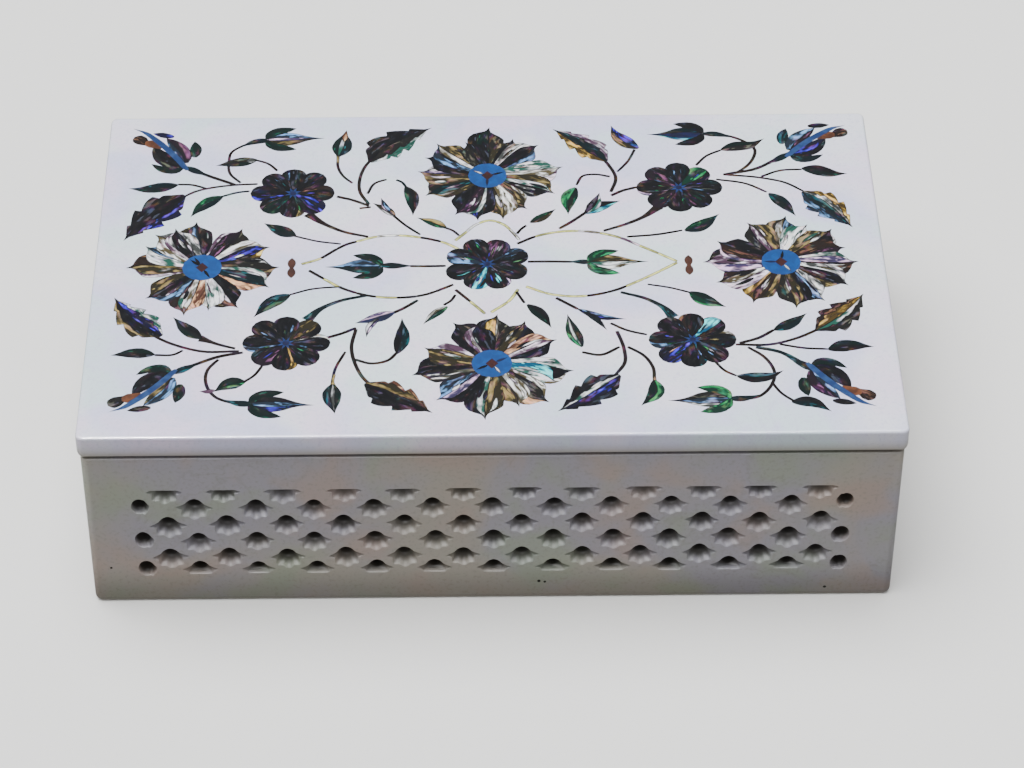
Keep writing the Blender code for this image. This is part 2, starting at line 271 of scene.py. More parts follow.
class Graph:
    """The node graph of one material, or of the sky."""

    def __init__(self, owner: bpy.types.Material | bpy.types.World, shader: str) -> None:
        """Switch the nodes on.

        Args:
            owner: The material or sky.
            shader: Name of the shader that it starts with.
        """
        owner.use_nodes = True
        self.owner = owner
        self.tree = owner.node_tree
        self.shader = self.tree.nodes[shader]

    @classmethod
    def of_material(cls, name: str) -> "Graph":
        """Start a new material with its Principled shader."""
        return cls(bpy.data.materials.new(name), "Principled BSDF")

    def feed(self, node: bpy.types.Node, inputs: dict) -> None:
        """Set a node's sockets.

        Args:
            node: The node.
            inputs: Value, wire or socket for each socket, by its number, identifier or name.
        """
        for key, value in inputs.items():
            if isinstance(key, str):
                known = {socket.identifier: socket for socket in node.inputs}
                socket = known.get(key) or node.inputs[key]
            else:
                socket = node.inputs[key]
            if isinstance(value, Wire):
                value = value.socket
            if isinstance(value, bpy.types.NodeSocket):
                self.tree.links.new(value, socket)
            else:
                socket.default_value = value

    def node(self, kind: str, settings: dict, inputs: dict) -> bpy.types.Node:
        """Add a node.

        Args:
            kind: Blender's type of node.
            settings: Its own settings, a ramp's stops among them, which are set first.
            inputs: Value, wire or socket for each socket.

        Returns:
            The node.
        """
        made = self.tree.nodes.new(kind)
        for name, value in settings.items():
            if name == "stops":
                ramp = made.color_ramp
                while len(ramp.elements) < len(value):
                    ramp.elements.new(1.0)
                for element, (place, colour) in zip(ramp.elements, value):
                    element.position = place
                    element.color = colour
            else:
                setattr(made, name, value)
        self.feed(made, inputs)
        return made

    def attribute(self, name: str) -> bpy.types.Node:
        """Read a value stored on the mesh."""
        return self.node("ShaderNodeAttribute", {"attribute_name": name}, {})

    def parts(self, vector: bpy.types.NodeSocket) -> tuple[Wire, Wire, Wire]:
        """Split a vector into its three numbers."""
        split = self.node("ShaderNodeSeparateXYZ", {}, {0: vector})
        return tuple(Wire(self, socket) for socket in split.outputs)

    def join(self, x: Wire | float, y: Wire | float, z: Wire | float) -> bpy.types.NodeSocket:
        """Make a vector of three numbers."""
        return self.node("ShaderNodeCombineXYZ", {}, {0: x, 1: y, 2: z}).outputs[0]

    def place(self) -> bpy.types.NodeSocket:
        """Place on the object, in millimetres."""
        spot = self.node("ShaderNodeTexCoord", {}, {}).outputs["Object"]
        return self.node("ShaderNodeVectorMath", {"operation": "SCALE"},
                         {0: spot, "Scale": 1 / MM}).outputs[0]

    def noise(self, vector: bpy.types.NodeSocket, scale: float, detail: float = 3.0,
              distortion: float = 0.0) -> Wire:
        """Add a cloud of noise.

        Args:
            vector: Place to read it at.
            scale: Clouds for each unit of the place.
            detail: Octaves.
            distortion: How far the clouds are pulled about.

        Returns:
            Noise about 0.5.
        """
        made = self.node("ShaderNodeTexNoise", {},
                         {"Vector": vector, "Scale": scale, "Detail": detail,
                          "Distortion": distortion})
        return Wire(self, made.outputs[0])

    def ramp(self, factor: Wire, stops: Sequence[tuple[float, Colour]]) -> bpy.types.NodeSocket:
        """Turn a number into a colour by stops along a ramp."""
        return self.node("ShaderNodeValToRGB", {"stops": stops}, {0: factor}).outputs[0]

    def blend(self, factor: Wire | float, first: Colour | bpy.types.NodeSocket,
              second: Colour | bpy.types.NodeSocket, mode: str = "MIX") -> bpy.types.NodeSocket:
        """Blend two colours.

        Args:
            factor: Share of the second colour.
            first: First colour or its socket.
            second: Second colour or its socket.
            mode: Way of blending.

        Returns:
            The blended colour.
        """
        node = self.node("ShaderNodeMix", {"data_type": "RGBA", "blend_type": mode},
                         {"Factor_Float": factor, "A_Color": first, "B_Color": second})
        return next(socket for socket in node.outputs if socket.identifier == "Result_Color")

    def bump(self, height: Wire, strength: float, depth: float) -> None:
        """Feed the shader's normal from a height, its depth in millimetres."""
        made = self.node("ShaderNodeBump", {}, {"Strength": strength, "Distance": depth * MM,
                                                "Height": height})
        self.feed(self.shader, {"Normal": made.outputs[0]})


@dataclass(frozen=True)
class PolishedMarble:
    """Marble clouded with faint green, rose and lavender, with fine veins and painted shade.

    Painted shade darkens the hollows, which start where both x and y fall below `hollow_start`,
    and the colour darkens from one given height down to another. Dark specks lie at the places
    given.
    """

    name: str
    ground: Colour
    cool: Colour
    green: Colour
    rose: Colour
    vein: Colour
    # Colour of the painted shade in the hollows and of the darkening lower down.
    dark_tone: Colour
    roughness: float
    coat: float
    low_darkening: float
    hollow_start: Point = (-1.0, -1.0)
    hollow_depth: float = 1.5
    hollow_shade: float = 0.85
    shine: float = 0.5
    low_darkening_from: float = 14.4
    low_darkening_to: float = 0.0
    tint_share: float = 0.7
    vein_share: float = 0.20
    grain_share: float = 0.30
    speck: Colour = ink(26, 22, 20)
    speck_places: tuple[tuple[Point3, float], ...] = ()

    def dress(self) -> bpy.types.Material:
        """Make the material.

        Returns:
            The material.
        """
        g = Graph.of_material(self.name)
        place = g.place()
        x, y, z = g.parts(place)
        clouds = g.noise(place, 0.022, 4.0, 0.5)
        tint = g.noise(place, 0.045, 3.0, 0.3)
        colour = g.blend(clouds.step(0.42, 0.60), self.ground, self.cool)
        colour = g.blend(tint.step(0.50, 0.68) * self.tint_share, colour, self.green)
        colour = g.blend((1 - tint).step(0.50, 0.68) * self.tint_share, colour, self.rose)
        threads = g.noise(place, 0.040, 5.0, 1.2)
        vein = (1 - abs(threads - 0.5) * 40).step(0.0, 1.0) * clouds.step(0.48, 0.66)
        colour = g.blend(vein * self.vein_share, colour, self.vein)
        grain = g.noise(place, 1.1, 4.0)
        colour = g.blend(grain.step(0.50, 0.70) * self.grain_share, colour, self.vein)
        # Painted shade: the colour darkens into the carved hollows, deepest in the holes.
        start_x, start_y = self.hollow_start
        hollow = (start_x - abs(x)).least(start_y - abs(y)) * (1 / self.hollow_depth)
        colour = g.blend(hollow.step(0.0, 1.0) * self.hollow_shade, colour, self.dark_tone)
        # The colour darkens from one height down to another: painted shade on the lid's lower edge,
        # and a plain darkening towards the bottom of the walls.
        drop = (self.low_darkening_from - z) * (1 / (self.low_darkening_from - self.low_darkening_to))
        colour = g.blend(drop.step(0.0, 1.0) * self.low_darkening, colour, self.dark_tone)
        for spot, radius in self.speck_places:
            gap = g.node("ShaderNodeVectorMath", {"operation": "DISTANCE"}, {0: place, 1: spot})
            near = Wire(g, gap.outputs["Value"]) + (grain - 0.5) * 0.5
            colour = g.blend(1 - near.step(radius * 0.7, radius), colour, self.speck)
        g.feed(g.shader, {"Base Color": colour, "Roughness": self.roughness + grain * 0.10,
                          "Specular IOR Level": self.shine, "Coat Weight": self.coat,
                          "Coat Roughness": 0.03})
        g.bump(grain + g.noise(place, 0.35, 2.0) * 2.0, 0.3, 0.03)
        return g.owner


# The lid's dark tone, growing down its edge from 54.6 mm to 50 mm, is painted shade on the lower,
# inward-turned part of the edge.
LID_MARBLE = PolishedMarble(
    "lid_marble", ground=ink(215, 215, 221), cool=ink(210, 210, 222), green=ink(209, 215, 215),
    rose=ink(216, 212, 217), vein=ink(202, 202, 211), dark_tone=ink(186, 180, 158), roughness=0.20,
    coat=0.8, low_darkening=0.7, low_darkening_from=54.6, low_darkening_to=50.0,
    speck_places=(((87.6, -53.0, 57.0), 0.22),))
# The wall's dark tone is painted shade deep in the carved holes, and it also darkens the walls
# towards the bottom.
BODY_MARBLE = PolishedMarble(
    "wall_marble", ground=ink(198, 195, 190), cool=ink(195, 193, 197), green=ink(192, 196, 186),
    rose=ink(201, 192, 187), vein=ink(178, 175, 168), dark_tone=ink(66, 62, 46), roughness=0.45,
    coat=0.0, shine=0.22, hollow_start=(100.2, 62.2), low_darkening=0.5,
    speck_places=(((11.5, -62.9, 6.0), 0.55), ((13.0, -62.9, 5.7), 0.40),
                  ((84.0, -62.9, 3.0), 0.45), ((-96.0, -62.9, 12.0), 0.40)))


@dataclass(frozen=True)
class PearlShell:
    """Paua shell: satin streaks along each strip, dark growth lines, a shifting sheen and painted
    glints.
    """

    edge: Colour = ink(10, 10, 12)
    sheen: tuple[Colour, ...] = (ink(20, 150, 120), ink(80, 70, 200), ink(214, 120, 196),
                                 ink(226, 196, 110), ink(60, 200, 200))
    roughness: float = 0.15

    def dress(self) -> bpy.types.Material:
        """Make the material.

        Returns:
            The material.
        """
        g = Graph.of_material("paua_shell")
        along, across, seed = g.parts(g.attribute("grain").outputs["Vector"])
        rim, glow, _ = g.parts(g.attribute("form").outputs["Vector"])
        tint = g.attribute("tint").outputs["Color"]
        flash = g.attribute("flash").outputs["Color"]
        drift = g.noise(g.join(along * 0.22, across * 0.30, seed * 7.3), 1.0, 2.0) - 0.5
        strands = g.join(along * 0.11, across * 0.9 + drift * 2.4, seed * 11.1)
        streak = g.noise(strands, 1.0, 1.4, 0.2)
        patch = g.noise(g.join(along * 0.26, across * 0.5, seed * 5.7), 1.0, 2.0)
        shine = (streak * 0.6 + patch * 0.6 + glow * 0.26).step(0.62, 0.80)
        colour = g.blend(shine, tint, flash)
        hue = g.noise(g.join(along * 0.16, across * 0.35, seed * 3.9), 1.0, 1.0)
        stops = [(0.30 + 0.1 * i, shade) for i, shade in enumerate(self.sheen)]
        colour = g.blend(patch.step(0.50, 0.68) * (glow * 0.30 + 0.08), colour, g.ramp(hue, stops))
        growth = (streak * 22 + along * 0.5).wave()
        colour = g.blend(growth.step(0.5, 1.0) * 0.45, colour, self.edge)
        # Painted highlight: small bright glints of the flash colour screened over the shell.
        painted_glint = g.noise(g.join(along * 0.3, across * 0.8, seed * 9.1), 1.0, 1.0)
        colour = g.blend((painted_glint + glow * 0.12).step(0.66, 0.74) * 0.8, colour, flash, "SCREEN")
        colour = g.blend((1 - rim.step(0.05, 0.26)) * 0.9, colour, self.edge)
        g.feed(g.shader, {"Base Color": colour,
                          "Roughness": self.roughness + growth.step(0.2, 1.0) * 0.12})
        g.bump(streak + rim.step(0.0, 0.2) * 0.6, 0.3, 0.03)
        return g.owner


@dataclass(frozen=True)
class OpaqueStone:
    """Inlaid stone, nearly one colour, with soft clouding and a few fine grains."""

    roughness: float = 0.26
    joint: Colour = ink(14, 18, 26)

    def dress(self) -> bpy.types.Material:
        """Make the material.

        Returns:
            The material.
        """
        g = Graph.of_material("opaque_stone")
        along, across, seed = g.parts(g.attribute("grain").outputs["Vector"])
        rim, _, _ = g.parts(g.attribute("form").outputs["Vector"])
        tint = g.attribute("tint").outputs["Color"]
        flash = g.attribute("flash").outputs["Color"]
        clouds = g.noise(g.join(along * 0.5, across * 0.5, seed * 3.1), 1.0, 4.0, 0.5)
        colour = g.blend(clouds.step(0.40, 0.66) * 0.7, tint, flash)
        grain = g.noise(g.place(), 4.5, 2.0)
        colour = g.blend(grain.step(0.62, 0.74) * 0.12, colour, flash, "SCREEN")
        colour = g.blend((1 - rim.step(0.0, 0.16)) * 0.35, colour, self.joint)
        g.feed(g.shader, {"Base Color": colour, "Roughness": self.roughness + grain * 0.10})
        g.bump(grain, 0.2, 0.02)
        return g.owner


@dataclass(frozen=True)
class PaleFloor:
    """Plain pale paper under the box."""

    colour: Colour = (0.88, 0.86, 0.82, 1.0)
    mottling: Colour = (0.80, 0.80, 0.80, 1.0)
    roughness: float = 0.9
    shine: float = 0.1

    def dress(self) -> bpy.types.Material:
        """Make the material.

        Returns:
            The material.
        """
        g = Graph.of_material("pale_floor")
        mottle = g.noise(g.place(), 0.8, 2.0)
        shade = g.blend(mottle.step(0.3, 0.7) * 0.06, self.colour, self.mottling)
        g.feed(g.shader, {"Base Color": shade, "Roughness": self.roughness,
                          "Specular IOR Level": self.shine})
        return g.owner


class Finish(Enum):
    """What an inlaid strip is made of."""

    PEARL = 0
    STONE = 1


class Shell(Enum):
    """Cuts of shell and stone: ground colour, brighter flash in it, how much of it, and finish."""

    NIGHT = (ink(10, 10, 14), ink(80, 88, 106), -0.08, Finish.PEARL)
    SMOKE = (ink(32, 30, 26), ink(136, 138, 118), 0.0, Finish.PEARL)
    FOREST = (ink(5, 30, 25), ink(10, 120, 88), -0.05, Finish.PEARL)
    TEAL = (ink(5, 28, 34), ink(20, 128, 134), -0.05, Finish.PEARL)
    LEAF = (ink(6, 62, 42), ink(50, 180, 120), 0.1, Finish.PEARL)
    OLIVE = (ink(56, 48, 28), ink(186, 174, 120), 0.12, Finish.PEARL)
    GOLD = (ink(96, 72, 26), ink(230, 204, 124), 0.2, Finish.PEARL)
    BROWN = (ink(44, 28, 20), ink(156, 118, 86), 0.0, Finish.PEARL)
    PLUM = (ink(36, 20, 36), ink(172, 120, 164), -0.05, Finish.PEARL)
    VIOLET = (ink(18, 14, 56), ink(104, 84, 220), 0.05, Finish.PEARL)
    STEEL = (ink(36, 50, 68), ink(164, 194, 214), 0.15, Finish.PEARL)
    SILVER = (ink(80, 84, 80), ink(248, 250, 244), 0.28, Finish.PEARL)
    MINT = (ink(40, 116, 96), ink(224, 255, 238), 0.34, Finish.PEARL)
    CYAN = (ink(10, 110, 146), ink(140, 246, 250), 0.36, Finish.PEARL)
    LILAC = (ink(84, 72, 120), ink(220, 208, 250), 0.28, Finish.PEARL)
    PINK = (ink(116, 76, 106), ink(255, 214, 242), 0.30, Finish.PEARL)
    SALMON = (ink(120, 72, 54), ink(250, 200, 176), 0.28, Finish.PEARL)
    CREAM = (ink(112, 98, 62), ink(252, 248, 216), 0.34, Finish.PEARL)
    VINE = (ink(176, 176, 122), ink(214, 214, 170), 0.5, Finish.PEARL)
    BARK = (ink(36, 20, 15), ink(80, 50, 38), 0.0, Finish.PEARL)
    BLUE = (ink(0, 84, 158), ink(0, 104, 176), 0.0, Finish.STONE)
    AZURE = (ink(14, 62, 132), ink(60, 108, 160), 0.0, Finish.STONE)
    STAR = (ink(8, 48, 124), ink(30, 84, 160), 0.0, Finish.STONE)
    NAVY = (ink(4, 8, 50), ink(10, 28, 110), 0.0, Finish.STONE)
    RED = (ink(52, 8, 8), ink(88, 18, 14), 0.0, Finish.STONE)
    RUST = (ink(96, 46, 20), ink(160, 98, 48), 0.0, Finish.STONE)
    CHESTNUT = (ink(76, 34, 20), ink(118, 62, 38), 0.0, Finish.STONE)

    @property
    def tint(self) -> Colour:
        """Ground colour."""
        return self.value[0]

    @property
    def flash(self) -> Colour:
        """Brighter colour in it."""
        return self.value[1]

    @property
    def glow(self) -> float:
        """How much of the flash shows."""
        return self.value[2]

    @property
    def finish(self) -> Finish:
        """What it is made of."""
        return self.value[3]


class Profile(Enum):
    """How a strip's half width runs from root to tip: places along it and shares of the widest."""

    STEM = ((0.0, 0.85), (0.05, 1.0), (0.85, 1.0), (1.0, 0.75))
    SPROUT = ((0.0, 2.6), (0.15, 1.9), (0.4, 1.1), (1.0, 0.8))
    LEAF = ((0.0, 0.16), (0.12, 0.62), (0.34, 1.0), (0.58, 0.84), (0.80, 0.36), (0.92, 0.12),
            (1.0, 0.0))
    BROAD = ((0.0, 0.10), (0.08, 0.36), (0.2, 0.88), (0.38, 1.0), (0.60, 0.82), (0.80, 0.40),
             (0.92, 0.12), (1.0, 0.0))
    SPEAR = ((0.0, 0.5), (0.25, 1.0), (0.45, 0.86), (0.68, 0.36), (0.82, 0.14), (1.0, 0.0))
    STRIPE = ((0.0, 0.5), (0.08, 0.9), (0.5, 1.0), (0.78, 0.8), (0.9, 0.34), (1.0, 0.0))
    PETAL = ((0.0, 0.40), (0.25, 0.70), (0.5, 0.97), (0.66, 1.0), (0.76, 0.84), (0.83, 0.50),
             (0.87, 0.22), (0.92, 0.09), (1.0, 0.0))
    LOBE = ((0.0, 0.06), (0.30, 0.50), (0.5, 0.86), (0.60, 0.97), (0.68, 1.0), (0.80, 0.93),
            (0.90, 0.73), (0.95, 0.53), (0.985, 0.30), (1.0, 0.0))
    CRESCENT = ((0.0, 0.30), (0.2, 0.85), (0.5, 1.0), (0.8, 0.6), (1.0, 0.0))
    DROP = ((0.0, 0.2), (0.3, 0.6), (0.6, 1.0), (0.8, 0.95), (0.93, 0.6), (1.0, 0.0))
    DISC = ((0.0, 0.0), (0.02, 0.28), (0.07, 0.50), (0.15, 0.71), (0.30, 0.92), (0.5, 1.0),
            (0.70, 0.92), (0.85, 0.71), (0.93, 0.50), (0.98, 0.28), (1.0, 0.0))
    LOZENGE = ((0.0, 0.0), (0.25, 0.5), (0.5, 1.0), (0.75, 0.5), (1.0, 0.0))
    BEAD = ((0.0, 0.0), (0.12, 0.75), (0.25, 1.0), (0.40, 0.85), (0.5, 0.45), (0.60, 0.85),
            (0.75, 1.0), (0.88, 0.75), (1.0, 0.0))


def run_keys(points: np.ndarray) -> np.ndarray:
    """Measure how far along a line each of its points lies."""
    return np.concatenate(([0.0], np.cumsum(np.hypot(*np.diff(points, axis=0).T))))


@dataclass
class Blade:
    """One strip of shell or stone along a curved spine.

    It takes the shares of the width in `window`, from -1 at the right edge to 1 at the left one,
    and the shares of the spine in `span`. A strip that takes only part of the spine has pointed
    ends.
    """

    spine: Sequence[Point]
    profile: Profile
    half_width: float
    shell: Shell
    window: tuple[float, float] = (-1.0, 1.0)
    teeth: int = 0
    span: tuple[float, float] = (0.0, 1.0)
    seed: float = 0.0
    spacing: float = 0.75
    fewest_steps: int = 9
    most_steps: int = 30
    tooth_steps: int = 3
    tooth_depth: float = 0.34
    tooth_span: tuple[float, float] = (0.08, 0.9)

    def __post_init__(self) -> None:
        """Work out the strip's centre line and its two edges, with closer steps at the ends."""
        points = np.array(self.spine, float)
        keys = run_keys(points)
        length = float(keys[-1])
        steps = int(np.clip(length / self.spacing, self.fewest_steps, self.most_steps))
        steps += self.tooth_steps * self.teeth
        if self.profile is Profile.LOZENGE:
            steps = len(Profile.LOZENGE.value) - 1
        run_share = np.linspace(0, 1, steps + 1)
        run_share = 0.3 * (1 - np.cos(pi * run_share)) + 0.4 * run_share
        share = self.span[0] + (self.span[1] - self.span[0]) * run_share
        self.along = share * length
        self.centre = hermite(keys, points, self.along)
        run = np.gradient(self.centre, axis=0)
        run /= np.hypot(*run.T)[:, None]
        self.normal = np.column_stack((-run[:, 1], run[:, 0]))
        places, shares = np.array(self.profile.value).T
        width = hermite(places, shares, share, even_slopes(places, shares)) * self.half_width
        if self.teeth:
            saw = ((share * self.teeth) % 1.0) ** 1.5
            first, last = self.tooth_span
            width *= 1 - self.tooth_depth * np.where(share < last, saw, 1.0) * (share > first)
        middle, half = sum(self.window) / 2, (self.window[1] - self.window[0]) / 2
        if self.span != (0.0, 1.0):
            half = half * np.sqrt(np.sin(pi * run_share) + 1e-9)
        self.right, self.left = width * (middle - half), width * (middle + half)

    def beside(self, across: np.ndarray) -> np.ndarray:
        """Points beside the centre line, each at its own distance to the left."""
        return self.centre + self.normal * across[:, None]

    @property
    def outline(self) -> np.ndarray:
        """Corners of the strip in order, down one edge and back up the other."""
        return np.vstack((self.beside(self.left), self.beside(self.right)[::-1]))

    @property
    def middle(self) -> np.ndarray:
        """Points down the middle of the strip, clear of its ends."""
        return self.beside((self.left + self.right) / 2)[1:-1]

    def locate(self, points: np.ndarray) -> np.ndarray:
        """Find where points lie on the strip.

        Args:
            points: Points on the lid, one row each.

        Returns:
            For each point its place along, its place across and its distance from the edge.
        """
        start, run = self.centre[:-1], np.diff(self.centre, axis=0)
        size = (run ** 2).sum(axis=1)
        away = points[:, None] - start[None]
        share = np.clip((away * run[None]).sum(axis=2) / size, 0, 1)
        gap = away - share[..., None] * run[None]
        best = (gap ** 2).sum(axis=2).argmin(axis=1)
        rows = np.arange(len(points))
        share, gap = share[rows, best], gap[rows, best]
        along = self.along[best] + share * np.diff(self.along)[best]
        across = (gap * self.normal[best]).sum(axis=1)
        left = self.left[best] + share * np.diff(self.left)[best]
        right = self.right[best] + share * np.diff(self.right)[best]
        rim = np.clip(np.minimum(left - across, across - right), 0, None)
        return np.column_stack((along, across, rim))


def put(name: str, data: bpy.types.ID) -> bpy.types.Object:
    """Put an object in the scene.

    Args:
        name: Its name.
        data: Its mesh, lamp or camera.

    Returns:
        The object.
    """
    made = bpy.data.objects.new(name, data)
    bpy.context.scene.collection.objects.link(made)
    return made


def sides_of(faces: list[list[int]]) -> set[tuple[int, int]]:
    """List the sides of triangles, each in its own direction."""
    return {(a, b) for tri in faces for a, b in zip(tri, tri[1:] + tri[:1])}


class Skin:
    """Collects faces by their corner points and welds corners that coincide."""

    def __init__(self) -> None:
        """Start empty."""
        self.points: list[Point3] = []
        self.index: dict[tuple[int, int, int], int] = {}
        self.faces: list[list[int]] = []
        self.smooth: list[bool] = []

    def corner(self, point: Point3) -> int:
        """Number a corner, new or met before.

        Args:
            point: Where it is.

        Returns:
            Its number.
        """
        key = tuple(round(value / WELD_STEP) for value in point)
        if key not in self.index:
            self.index[key] = len(self.points)
            self.points.append(tuple(point))
        return self.index[key]

    def face(self, corners: Loop, smooth: bool = False) -> None:
        """Add one face, unless its corners fall together.

        Args:
            corners: Its corners in order.
            smooth: Shade it smooth.
        """
        numbers = list(dict.fromkeys(self.corner(point) for point in corners))
        if len(numbers) > 2:
            self.faces.append(numbers)
            self.smooth.append(smooth)

    def band(self, first: Loop, second: Loop, smooth: bool = True, closed: bool = True) -> None:
        """Fill between two loops of equal length.

        Args:
            first: Corners of one loop.
            second: Corners of the other.
            smooth: Shade the faces smooth.
            closed: Join the last corners to the first ones.
        """
        count = len(first)
        for i in range(count if closed else count - 1):
            j = (i + 1) % count
            self.face((first[i], first[j], second[j], second[i]), smooth)

    def fill(self, outline: Sequence[Point], holes: Sequence[Sequence[Point]],
             lift: Callable[[float, float], Point3]) -> None:
        """Fill a flat panel around its holes.

        Args:
            outline: Corners of the panel in its own plane.
            holes: Loops that stay open.
            lift: Turns a point of that plane into a point of the object.
        """
        spots, faces = triangulate([(loop, True) for loop in (outline, *holes)], 1e-6)
        middles = spots[faces].mean(axis=1)
        keep = inside(middles, np.array(outline))
        for hole in holes:
            keep &= ~within(middles, np.array(hole))
        for face, kept in zip(faces, keep):
            if kept:
                self.face([lift(*spots[i]) for i in face])

    def make(self, name: str, material: bpy.types.Material) -> bpy.types.Object:
        """Make the object.

        Args:
            name: Its name.
            material: Its finish.

        Returns:
            The object, its faces pointing out.
        """
        mesh = bpy.data.meshes.new(name)
        mesh.from_pydata([Vector(point) * MM for point in self.points], [], self.faces)
        mesh.polygons.foreach_set("use_smooth", self.smooth)
        bm = bmesh.new()
        bm.from_mesh(mesh)
        bmesh.ops.recalc_face_normals(bm, faces=bm.faces)
        bm.to_mesh(mesh)
        bm.free()
        mesh.materials.append(material)
        return put(name, mesh)


def rounded_ring(half_x: float, half_y: float, radius: float, z: float, steps: int) -> list[Point3]:
    """Run round a level rectangle with rounded corners.

    Args:
        half_x: Half its length.
        half_y: Half its width.
        radius: Radius of its corners.
        z: Its height.
        steps: Steps round each corner.

    Returns:
        Its points, anticlockwise from the right end of the back right corner's arc.
    """
    points = []
    for corner, (sx, sy) in enumerate(((1, 1), (-1, 1), (-1, -1), (1, -1))):
        for step in range(steps + 1):
            angle = (corner + step / steps) * pi / 2
            points.append((sx * (half_x - radius) + radius * cos(angle),
                           sy * (half_y - radius) + radius * sin(angle), z))
    return points


def quarter_round(radius: float, steps: int) -> list[tuple[float, float]]:
    """Give the inset and the rise along a quarter-round edge, from flat to upright."""
    angles = [step / steps * pi / 2 for step in range(steps + 1)]
    return [(radius * (1 - sin(angle)), radius * (1 - cos(angle))) for angle in angles]


def hand_in(piece: bpy.types.Object, slot: str, *nodes: str) -> bpy.types.Object:
    """Set a piece on its body.

    Args:
        piece: The piece.
        slot: Name of a material slot; not used.
        nodes: Nodes of the frame that it stands for.

    Returns:
        The piece.
    """
    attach(piece, BODY)
    if nodes:
        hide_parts(*nodes)
    log.info("%s: %d faces", piece.name, len(piece.data.polygons))
    return piece


@dataclass
class Cell:
    """One carved cell of the lattice: a scalloped mouth that slopes in to a drilled hole.

    `open_side` is 1 in the left end column, -1 in the right one and 0 elsewhere. `half` is -1
    where the border leaves only the lower half. A `sill` cuts the cell off below.
    """

    centre: Point
    hole_radius: float
    depth: float
    grow: float
    turn: float
    squash: float
    open_side: int = 0
    half: int = 0
    sill: float = 0.0
    pierced: bool = True
    around: int = 44
    least_rim: float = 0.15
    outer_rim: float = 0.3
    inner_rim: float = 0.8

    MOUTH = ((-90, 4.7), (-78, 4.45), (-69, 3.7), (-60, 4.35), (-50, 4.7), (-39, 4.1), (-27, 3.3),
             (-17, 4.1), (-9, 4.9), (-5, 4.1), (0, 3.3), (6, 2.8), (16, 2.35), (35, 2.2), (60, 2.2),
             (90, 2.3))
    STEPS = ((0.0, 0.0), (0.10, 0.24), (0.35, 0.64), (0.70, 0.92), (1.0, 1.0))
    BLIND, HALF_BLIND = 0.9, 0.45

    def mouth_radius(self, angle: float) -> float:
        """Distance from the hole's middle to the mouth.

        Args:
            angle: Direction, anticlockwise from the right.

        Returns:
            The distance there.
        """
        side = cos(angle)
        folded = atan2(sin(angle), abs(side)) * 180 / pi
        keys = np.array(self.MOUTH)
        reach = float(np.interp(folded, keys[:, 0], keys[:, 1])) * self.grow
        if self.open_side:
            rim = self.outer_rim if side * self.open_side < 0.5 else self.inner_rim
            reach = min(reach, self.hole_radius + rim)
        if self.sill:
            reach = min(reach, self.sill / max(-sin(angle), 0.01))
        return max(reach, self.hole_radius + self.least_rim)

    def ring(self, share: float) -> list[Point]:
        """Loop part of the way from the mouth to the hole.

        Args:
            share: 0 at the mouth and 1 at the hole.

        Returns:
            Its points in the wall's plane.
        """
        if self.half:
            steps = self.around // 2
            angles = [-pi + pi * i / steps for i in range(steps + 1)]
        else:
            angles = [2 * pi * i / self.around for i in range(self.around)]
        points = []
        for angle in angles:
            reach = self.mouth_radius(angle) * (1 - share) + self.hole_radius * share
            x, y = reach * cos(angle), reach * sin(angle) * self.squash
            points.append((self.centre[0] + x * cos(self.turn) - y * sin(self.turn),
                           self.centre[1] + x * sin(self.turn) + y * cos(self.turn)))
        return points

    def carve(self, skin: Skin, lift: Callable[[float, float, float], Point3],
              wall: float) -> tuple[list[Point], list[Point] | None]:
        """Build the recess and the hole.

        Args:
            skin: Where the faces go.
            lift: Turns a place and depth in the wall into a point of the box.
            wall: Thickness of the wall.

        Returns:
            The mouth's loop, and the far end's loop if the hole goes through.
        """
        levels = [(self.ring(share), depth * self.depth) for share, depth in self.STEPS]
        mouth, rim = levels[0][0], levels[-1][0]
        closed = not self.half
        end = wall if self.pierced else wall * (self.BLIND if closed else self.HALF_BLIND)
        levels.append((rim, end))
        loops = [[lift(x, y, depth) for x, y in ring] for ring, depth in levels]
        for first, second in pairwise(loops):
            skin.band(first, second, True, closed)
        if self.half:
            skin.face([loop[0] for loop in loops] + [loop[-1] for loop in loops[::-1]])
        if not self.pierced:
            skin.face(loops[-1])
        return mouth, rim if self.pierced else None


class RoundedBlock:
    """A block of marble with rounded upright corners, which has their radius among its sizes."""

    def outer(self, inset: float, z: float) -> list[Point3]:
        """Ring of the outside, drawn in by an inset."""
        radius = max(self.corner_radius - inset, self.corner_radius / 4)
        return rounded_ring(self.high.x - inset, self.high.y - inset, radius, z,
                            self.corner_steps)


